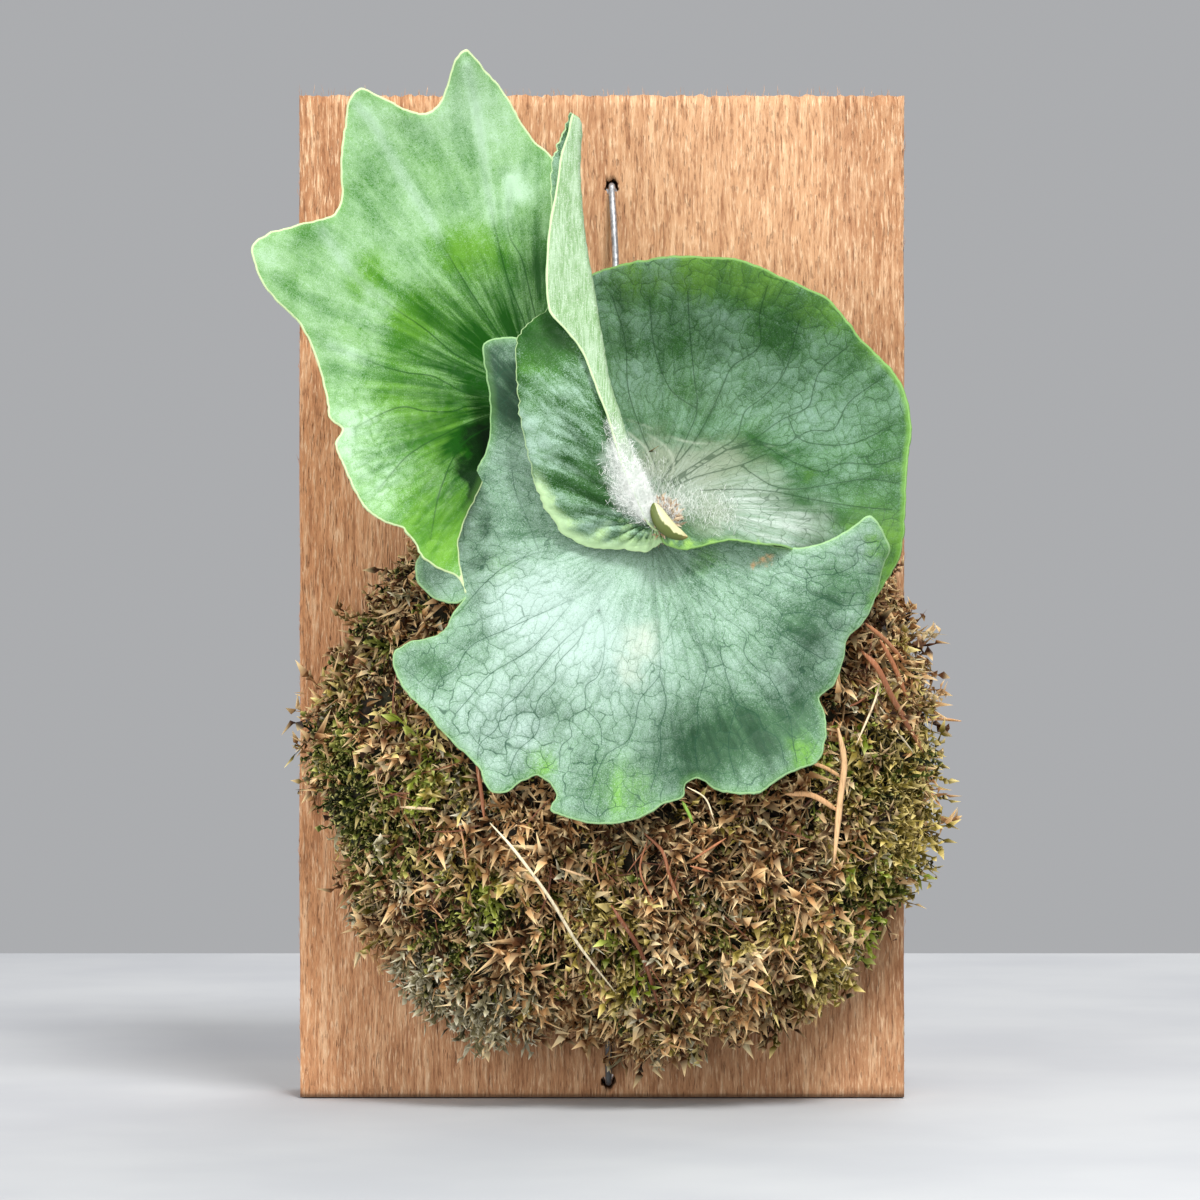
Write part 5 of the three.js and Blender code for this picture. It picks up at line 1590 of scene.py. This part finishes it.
def scatter_tree(share, seed):
    """Copies of a collection's shapes on a mesh's faces where the named share allows them. They point
    along the surface with Spread, away from it with Outward and down with Sag. They are smaller where the
    ground is cramped."""
    t = Growth(share + "_scatter", **dict.fromkeys(SCATTER_SIZES, "Float"), Shapes="Collection")
    ground, density, outward, spread, sag, least, most, shapes = t.given
    sockets = {"Mesh": ground, "Density": density * t.stored(share), "Seed": seed}
    points = t.node("GeometryNodeDistributePointsOnFaces", {}, sockets)
    normal = Value(t, points.socket.node.outputs["Normal"])
    sockets = {0: (-1, -1, -1), 1: (1, 1, 1), 8: seed + 1}
    jitter = t.node("FunctionNodeRandomValue", {"data_type": "FLOAT_VECTOR"}, sockets)
    along = t.vector("CROSS_PRODUCT", normal, jitter)
    aim = t.vector("ADD", t.scaled((0, 0, -1), sag), t.scaled(along, spread))
    aim = t.vector("ADD", aim, t.scaled(normal, outward))
    aligned = t.node("FunctionNodeAlignRotationToVector", {"axis": "Z"}, {"Vector": aim})
    sockets = {"Axis": (0, 0, 1), "Angle": t.drawn(0.0, 2 * math.pi, seed + 2)}
    spin = t.node("FunctionNodeAxisAngleToRotation", {}, sockets)
    turned = t.node("FunctionNodeRotateRotation", {"rotation_space": "LOCAL"}, {0: aligned, 1: spin})
    size = t.drawn(least, most, seed + 3) * (1 - t.stored("cramped"))
    sockets = {"Collection": shapes, "Separate Children": True, "Reset Children": True}
    each = t.node("GeometryNodeCollectionInfo", {}, sockets)
    sockets = {"Points": points, "Instance": each, "Pick Instance": True, "Rotation": turned, "Scale": size}
    copies = t.node("GeometryNodeInstanceOnPoints", {}, sockets)
    settings = {"data_type": "FLOAT", "domain": "INSTANCE"}
    sockets = {"Geometry": copies, "Name": "tone", "Value": t.drawn(0.0, 1.0, seed + 4)}
    return t.done(t.node("GeometryNodeStoreNamedAttribute", settings, sockets))


def scattered(name, ground, share, seed, sizes, shapes, finish):
    """Scatters the shapes of a collection, which is used up, on a piece."""
    inputs = dict(zip(SCATTER_SIZES, sizes))
    piece = grown(name, ground, scatter_tree(share, seed), **inputs, Shapes=shapes, Material=finish)
    for shape in list(shapes.objects):
        bpy.data.objects.remove(shape)
    bpy.data.collections.remove(shapes)
    return piece


print("scattered by", ", ".join(SCATTER_SIZES))

# %% The moss finish and the moss
SHAPES_OF_A_KIND = 6


def strand_finish(name, shades, tip):
    """Shades run from the darkest strand to the lightest. Each leaf darkens towards its root with painted
    shade from deep in the clump, and its tip is paler and drier.
    """
    t = Finish(name)
    tone, end = t.attribute("tone"), t.attribute("tip")
    cloud = t.noise(t.place, 110.0, 3.0)
    stops = [(k / (len(shades) - 1), shade) for k, shade in enumerate(shades)]
    colour = t.node("ShaderNodeValToRGB", {"stops": stops}, (tone * 0.8 + (cloud - 0.5) * 1.3 + 0.1,))
    # painted shade towards each leaf's root, and a paler, drier tip
    colour = t.layered(colour, ((1 - end) * 0.8, shades[0]), (end.ease(0.4, 1.0) * 0.75, tip))
    t.shader.inputs["Specular IOR Level"].default_value = 0.15
    return t.done(colour, 0.5 + tone * 0.35)


STRANDS = [  # kind, seed, sizes of the scatter, shades, tip
    ("green", 11, (115000, 0.55, 1.1, 0.45, 0.9, 1.8),
     [(8, 12, 1), (46, 58, 8), (110, 122, 36), (200, 196, 100)], (222, 214, 132)),
    ("gold", 31, (110000, 0.4, 1.2, 0.6, 0.9, 1.7),
     [(26, 22, 3), (122, 106, 26), (204, 180, 82), (255, 234, 158)], (255, 232, 160)),
    ("fresh", 51, (115000, 0.5, 1.1, 0.6, 0.9, 1.7),
     [(70, 84, 10), (138, 152, 36), (180, 192, 70), (212, 218, 116)], (222, 226, 140)),
    ("pale", 41, (80000, 0.55, 1.0, 0.8, 1.0, 1.9),
     [(50, 44, 24), (150, 140, 96), (216, 206, 162), (250, 242, 212)], (250, 242, 214)),
    ("brown", 21, (74000, 0.36, 1.3, 0.55, 0.9, 1.7),
     [(20, 10, 4), (122, 74, 38), (228, 168, 106), (255, 238, 190)], (255, 226, 170)),
    ("sprigs", 101, (16000, 0.7, 0.8, 0.4, 0.9, 1.35),
     [(60, 44, 18), (140, 116, 60), (206, 172, 112), (246, 220, 166)], (250, 222, 168)),
]
for kind, seed, sizes, shades, tip in STRANDS:
    finish = strand_finish(kind + "_moss", shades, tip)
    like = "gold" if kind == "sprigs" else kind
    shapes = shapes_to_scatter(like + "_strand", SHAPES_OF_A_KIND, like, strand, KINDS[like])
    seat(scattered("moss_" + kind, mound, kind, seed, sizes, shapes, finish), "moss")

# %% [markdown]
# ## Straws and needles
# Grass straws, strips of bark and needles are caught in the moss. The ones that catch the eye are placed
# one by one, and a seeded draw adds short ones. Each is a long thin body with an oval section, wide and flat
# for bark and nearly round for straw, and a number on its points picks its colour.

# %% Straws
STRAWS = [  # places in the view's pixels, lift off the mound at each end, half width, half thickness, tone
    ([(490, 823), (510, 845), (528, 868), (551, 900), (578, 944), (616, 993)], (11, 14), 0.46, 0.4, 0.75),
    ([(552, 1031), (578, 1030), (606, 1029)], (12, 12), 0.42, 0.4, 0.56),
    ([(838, 728), (844, 762), (840, 800), (834, 863)], (12, 10), 0.95, 0.35, 0.6),
    ([(785, 794), (811, 795), (840, 812)], (9, 9), 0.8, 0.3, 0.55),
    ([(810, 762), (826, 768), (842, 778)], (9, 9), 0.55, 0.3, 0.58),
    ([(861, 651), (876, 666), (893, 699), (923, 752)], (13, 12), 0.85, 0.35, 0.38),
    ([(880, 640), (893, 664), (908, 700)], (13, 12), 0.7, 0.3, 0.42),
    ([(865, 623), (885, 640), (906, 664)], (13, 12), 0.65, 0.3, 0.44),
    ([(880, 707), (896, 730), (913, 752)], (9, 8), 0.3, 0.25, 0.75),
    ([(682, 801), (687, 810), (693, 823)], (9, 9), 0.5, 0.25, 0.98),
    ([(687, 787), (705, 798), (714, 820)], (10, 8), 0.25, 0.25, 0.72),
    ([(716, 989), (745, 972), (774, 950)], (8, 8), 0.5, 0.35, 0.58),
    ([(722, 984), (750, 966), (770, 946)], (8, 8), 0.35, 0.3, 0.7),
    ([(644, 833), (662, 851), (670, 878), (682, 904)], (9, 8), 0.5, 0.4, 0.34),
    ([(611, 905), (624, 925), (640, 950), (660, 1012)], (9, 7), 0.6, 0.4, 0.3),
    ([(566, 965), (565, 1003)], (8, 6), 0.4, 0.3, 0.6),
    ([(573, 967), (574, 1002)], (8, 6), 0.4, 0.3, 0.65),
    ([(368, 776), (392, 762)], (8, 8), 0.5, 0.3, 0.5),
    ([(400, 807), (435, 809)], (8, 8), 0.45, 0.35, 0.66),
    ([(692, 860), (726, 838)], (9, 9), 0.35, 0.3, 0.42),
    ([(690, 866), (712, 872)], (9, 9), 0.35, 0.3, 0.4),
    ([(476, 760), (481, 790), (484, 818)], (8, 9), 0.6, 0.35, 0.36),
    ([(560, 868), (590, 878)], (9, 9), 0.35, 0.3, 0.62),
    ([(856, 745), (875, 700), (880, 680)], (8, 7), 0.35, 0.3, 0.7),
    ([(868, 690), (890, 676)], (9, 9), 0.3, 0.3, 0.66),
    ([(770, 985), (792, 940), (800, 905)], (7, 8), 0.3, 0.25, 0.6),
    ([(915, 722), (938, 719), (961, 721)], (5, 7), 0.45, 0.4, 0.56),
    ([(648, 838), (640, 870), (655, 905)], (8, 8), 0.3, 0.25, 0.38),
]
LOOSE_STRAWS = 90
LOOSE_TONES = (0.05, 0.12, 0.2, 0.28, 0.34, 0.5, 0.64)
MOSS_PILE = 2.5
STRAW_ROOM = 15
STRAW_SIDES = 6


def oval_rods(name, rods, material):
    """Long thin bodies, each a row of points in millimetres with its half width, half thickness and tone."""
    points, faces, tones = [], [], []
    turns = np.linspace(0, 2 * math.pi, STRAW_SIDES, endpoint=False)
    for line, wide, thick, tone in rods:
        count, first = len(line), len(points)
        ways = np.gradient(line, axis=0)
        ways = ways / np.linalg.norm(ways, axis=1)[:, None]
        side = np.cross(ways, (0, 1, 0))
        side = side / np.maximum(np.linalg.norm(side, axis=1), 1e-6)[:, None]
        up = np.cross(side, ways)
        taper = np.minimum(1, 0.35 + 3 * np.minimum(np.linspace(0, 1, count), np.linspace(1, 0, count)))
        for k, middle in enumerate(line):
            for turn in turns:
                round_it = side[k] * wide * math.cos(turn) + up[k] * thick * math.sin(turn)
                points.append(middle + taper[k] * round_it)
        for k in range(count - 1):
            for j in range(STRAW_SIDES):
                a, b = first + k * STRAW_SIDES + j, first + k * STRAW_SIDES + (j + 1) % STRAW_SIDES
                faces.append((a, b, b + STRAW_SIDES, a + STRAW_SIDES))
        ring = list(range(first, first + STRAW_SIDES))
        faces += [ring[::-1], [i + (count - 1) * STRAW_SIDES for i in ring]]
        tones += [tone] * (count * STRAW_SIDES)
    piece = mesh_piece(name, points, faces, material)
    store(piece.data, "tone", tones)
    return piece


def straw_line(places, lifts, steps=6):
    """A straw's points in space, lying over the mound."""
    flat = through(places, steps) if len(places) > 2 else np.linspace(places[0], places[-1], 5)
    along = np.linspace(0, 1, len(flat))
    depth = np.maximum(mound_depth(flat[:, 0], flat[:, 1]), 1) + np.linspace(*lifts, len(flat))
    smooth = np.polyval(np.polyfit(along, depth, 2), along)
    return in_space(np.column_stack([flat[:, 0], smooth, flat[:, 1]]))


def straw_finish():
    t = Finish("straw_and_bark")
    stops = [(0.0, (70, 44, 28)), (0.3, (132, 76, 48)), (0.42, (190, 122, 80)), (0.58, (236, 186, 130)),
             (0.75, (244, 230, 194)), (0.9, (236, 222, 170)), (0.96, (120, 160, 50))]
    colour = t.node("ShaderNodeValToRGB", {"stops": stops}, (t.attribute("tone"),))
    streak = t.streaks(t.place, (2600.0, 600.0, 300.0), 3.0, 0.6)
    dark, light = streak.ease(0.5, 0.3) * 0.45, streak.ease(0.55, 0.75) * 0.4
    return t.done(t.layered(colour, (dark, (120, 76, 44)), (light, (252, 232, 196))), 0.45 + streak * 0.3)


draw = random.Random(7)
rods = []
for places, lifts, wide, thick, tone in STRAWS:
    rods.append((straw_line(seen_at(places), np.add(lifts, MOSS_PILE)), wide, thick, tone))
while len(rods) < len(STRAWS) + LOOSE_STRAWS:
    turn, out = draw.uniform(-math.pi, math.pi), draw.uniform(0.2, 0.97) ** 0.7
    reach = float(rim_reach(turn)) * out
    x, z = MOSS_CENTRE[0] + reach * math.cos(turn), MOSS_CENTRE[1] + reach * math.sin(turn)
    long, heading = draw.uniform(3, 9), draw.uniform(0, math.pi)
    step = (long * math.cos(heading), long * math.sin(heading))
    middle = (x + step[0] + draw.uniform(-1, 1), z + step[1] + draw.uniform(-1, 1))
    path = [(x, z), middle, (x + 2 * step[0], z + 2 * step[1])]
    flat = np.array(path)
    if room_behind(flat, mound_depth(flat[:, 0], flat[:, 1])).min() < STRAW_ROOM:
        continue
    line = straw_line(path, (draw.uniform(3, 9), draw.uniform(3, 10)), 4)
    rods.append((line, draw.uniform(0.14, 0.36), draw.uniform(0.12, 0.22), draw.choice(LOOSE_TONES)))
seat(oval_rods("moss_straws", rods, straw_finish()), "moss")

# %% [markdown]
# ## Crown and bud
# The fronds grow from a short scaly rhizome, the crown. It is turned on its axis here and covered with
# papery scales by the same scattering tree. The bud is a new shield frond, folded in a crescent like a
# little bean pod, pale on its upper flank and olive below.

# %% Crown
CROWN_PROFILE = [  # reach and depth
    (0, 15), (6, 16), (9, 22), (10, 32), (9.6, 44), (8, 55), (6.4, 63), (5.2, 69), (4, 74), (2.4, 77.5),
    (0, 79),
]
CROWN_FOOT, CROWN_TOP = 15, 78.6
CROWN_SIDES = 28
SCALES_FROM, WOOL_FROM = 62, 60


def crown_finish(name, dark, light, tip):
    t = Finish(name)
    patch = t.noise(t.place, 420.0, 3.0, 0.6)
    colour = t.mix(patch.ease(0.35, 0.65), dark, light)
    colour = t.mix(t.attribute("tip").ease(0.4, 1.0) * 0.6, colour, tip)
    return t.done(colour, 0.6 + patch * 0.3, (0.5, 0.5, patch))


profile = through(CROWN_PROFILE, 4)[1:-1]
points = [(CROWN_AT[0], CROWN_FOOT, CROWN_AT[1])]
for reach, depth in profile:
    for k in range(CROWN_SIDES):
        turn = 2 * math.pi * k / CROWN_SIDES
        lumpy = reach * (1 + 0.12 * noise.noise((math.cos(turn) * 2, math.sin(turn) * 2, depth / 4)))
        points.append((CROWN_AT[0] + lumpy * math.cos(turn), depth, CROWN_AT[1] + lumpy * math.sin(turn)))
points = np.array([*points, (CROWN_AT[0], CROWN_TOP, CROWN_AT[1])])
bark = crown_finish("crown_bark", (52, 42, 24), (112, 98, 66), (112, 98, 66))
faces = shell_faces(len(profile), CROWN_SIDES, turned=True)
crown = mesh_piece("crown_body", in_space(points), faces, bark)
store(crown.data, "tip", np.zeros(len(points)))
store(crown.data, "scaly", np.clip((points[:, 1] - SCALES_FROM) / 6, 0, 1))
store(crown.data, "wool", np.clip((points[:, 1] - WOOL_FROM) / 8, 0, 1))
seat(crown, "crown_scales", "crown")

papery = crown_finish("papery_scales", (168, 124, 82), (222, 200, 164), (240, 230, 206))
scales = shapes_to_scatter("scale", 4, 5, blade, 2.8, 0.42, 0.3)
scale_sizes = (700000, 0.7, 0.7, 0.0, 0.6, 1.2)
seat(scattered("crown_papery_scales", crown, "scaly", 61, scale_sizes, scales, papery), "crown_scales")

# %% Bud
BUD_PATH = [(653.5, 502.5), (656, 512), (662, 523), (671, 531.5), (681, 536), (688, 537)]
BUD_DEPTHS = (80.5, 81.2, 81.6, 81.4, 80.8, 80.0)
BUD_HALF_WIDTH = 2.35
BUD_SIDES = 26
BUD_KEEL, BUD_FLATNESS = 0.22, 0.8


def bud_finish():
    t = Finish("bud_skin")
    side, along = t.attribute("side"), t.attribute("along")
    vein = t.streaks(t.place, (900.0, 900.0, 300.0), 3.0)
    colour = t.mix((side + (vein - 0.5) * 0.3).ease(0.78, 0.88), (88, 100, 40), (216, 214, 164))
    below, end = side.ease(0.3, 0.05) * 0.8, along.ease(0.75, 1.0) * 0.35
    colour = t.layered(colour, (below, (70, 70, 32)), (end, (206, 160, 96)))
    return t.done(colour, 0.42 + vein * 0.2, (0.25, 0.2, vein))


line = through([(*place, depth) for place, depth in zip(seen_at(BUD_PATH), BUD_DEPTHS)], 8)
steps = np.linspace(0, 1, len(line))
ways = np.gradient(line[:, :2], axis=0)
ways = ways / np.linalg.norm(ways, axis=1)[:, None]
widths = BUD_HALF_WIDTH * np.sin(math.pi * steps ** 0.8) ** 0.75
points, sides, alongs = [tuple(line[0])], [0.5], [0.0]
for k in range(1, len(line) - 1):
    for j in range(BUD_SIDES):
        turn = 2 * math.pi * j / BUD_SIDES
        keel = 1 + BUD_KEEL * max(math.cos(turn), 0) ** 6
        across, out = widths[k] * math.cos(turn) * keel, BUD_FLATNESS * widths[k] * math.sin(turn)
        points.append((line[k, 0] - ways[k, 1] * across, line[k, 1] + ways[k, 0] * across,
                       line[k, 2] + out))
        sides.append(0.5 + 0.5 * math.cos(turn - 0.5))
        alongs.append(steps[k])
points = np.array([*points, line[-1]])[:, [0, 2, 1]]
bud = mesh_piece("bud_crescent", in_space(points), shell_faces(len(line) - 2, BUD_SIDES), bud_finish())
store(bud.data, "side", [*sides, 0.5])
store(bud.data, "along", [*alongs, 1.0])
seat(bud, "bud_skin", "bud")

# %% [markdown]
# ## Wool and wood fibres
# Where a young staghorn frond leaves the crown it is wrapped in white wool, and a rough-sawn face bristles
# with torn fibres. Both are scattered slivers: hairs where the fronds and the crown carry a wool share, and
# fibres that all point up the grain on the board.

# %% Wool
def hair_finish():
    t = Finish("white_wool")
    cloud = t.noise(t.place, 300.0, 2.0)
    # painted light: a faint white glow keeps the wool bright where it lies in shade
    t.shader.inputs["Emission Color"].default_value = (1, 1, 1, 1)
    t.shader.inputs["Emission Strength"].default_value = 0.08
    return t.done(t.mix(cloud.ease(0.3, 0.7), (230, 234, 228), (254, 255, 252)), 0.6 + cloud * 0.2)


wool_white = hair_finish()
WOOLLY = [  # name, ground, density, seed, slot
    ("folded_wool", folded_leaf, 26000000, 71, "young_frond"),
    ("crown_wool", leaves["frond_round"], 5000000, 81, "dark_frond"),
    ("crown_hairs", crown, 7000000, 83, "crown_scales"),
]
for name, ground, density, seed, slot in WOOLLY:
    hairs = shapes_to_scatter("hair", 5, seed, blade, 2.6, 0.042, 0.5)
    sizes = (density, 0.42, 1.0, -0.7, 0.6, 1.3)
    seat(scattered(name, ground, "wool", seed, sizes, hairs, wool_white), slot)

# %% Torn fibres
BOARD_FOOT, BOARD_TOP = 3, 303

heights = np.array([vertex.co.z for vertex in board.data.vertices]) / MM
torn = np.where(heights < BOARD_FOOT, 0, 1) + 0.5 * np.clip((heights - BOARD_TOP) / 2, 0, 1)
store(board.data, "torn", torn)
fibres = shapes_to_scatter("fibre", 6, 9, blade, 2.8, 0.075, 0.16)
fibre_sizes = (42000, 0.2, 0.25, -1.0, 0.4, 1.3)
seat(scattered("board_fibres", board, "torn", 91, fibre_sizes, fibres, wood), "rough_wood")
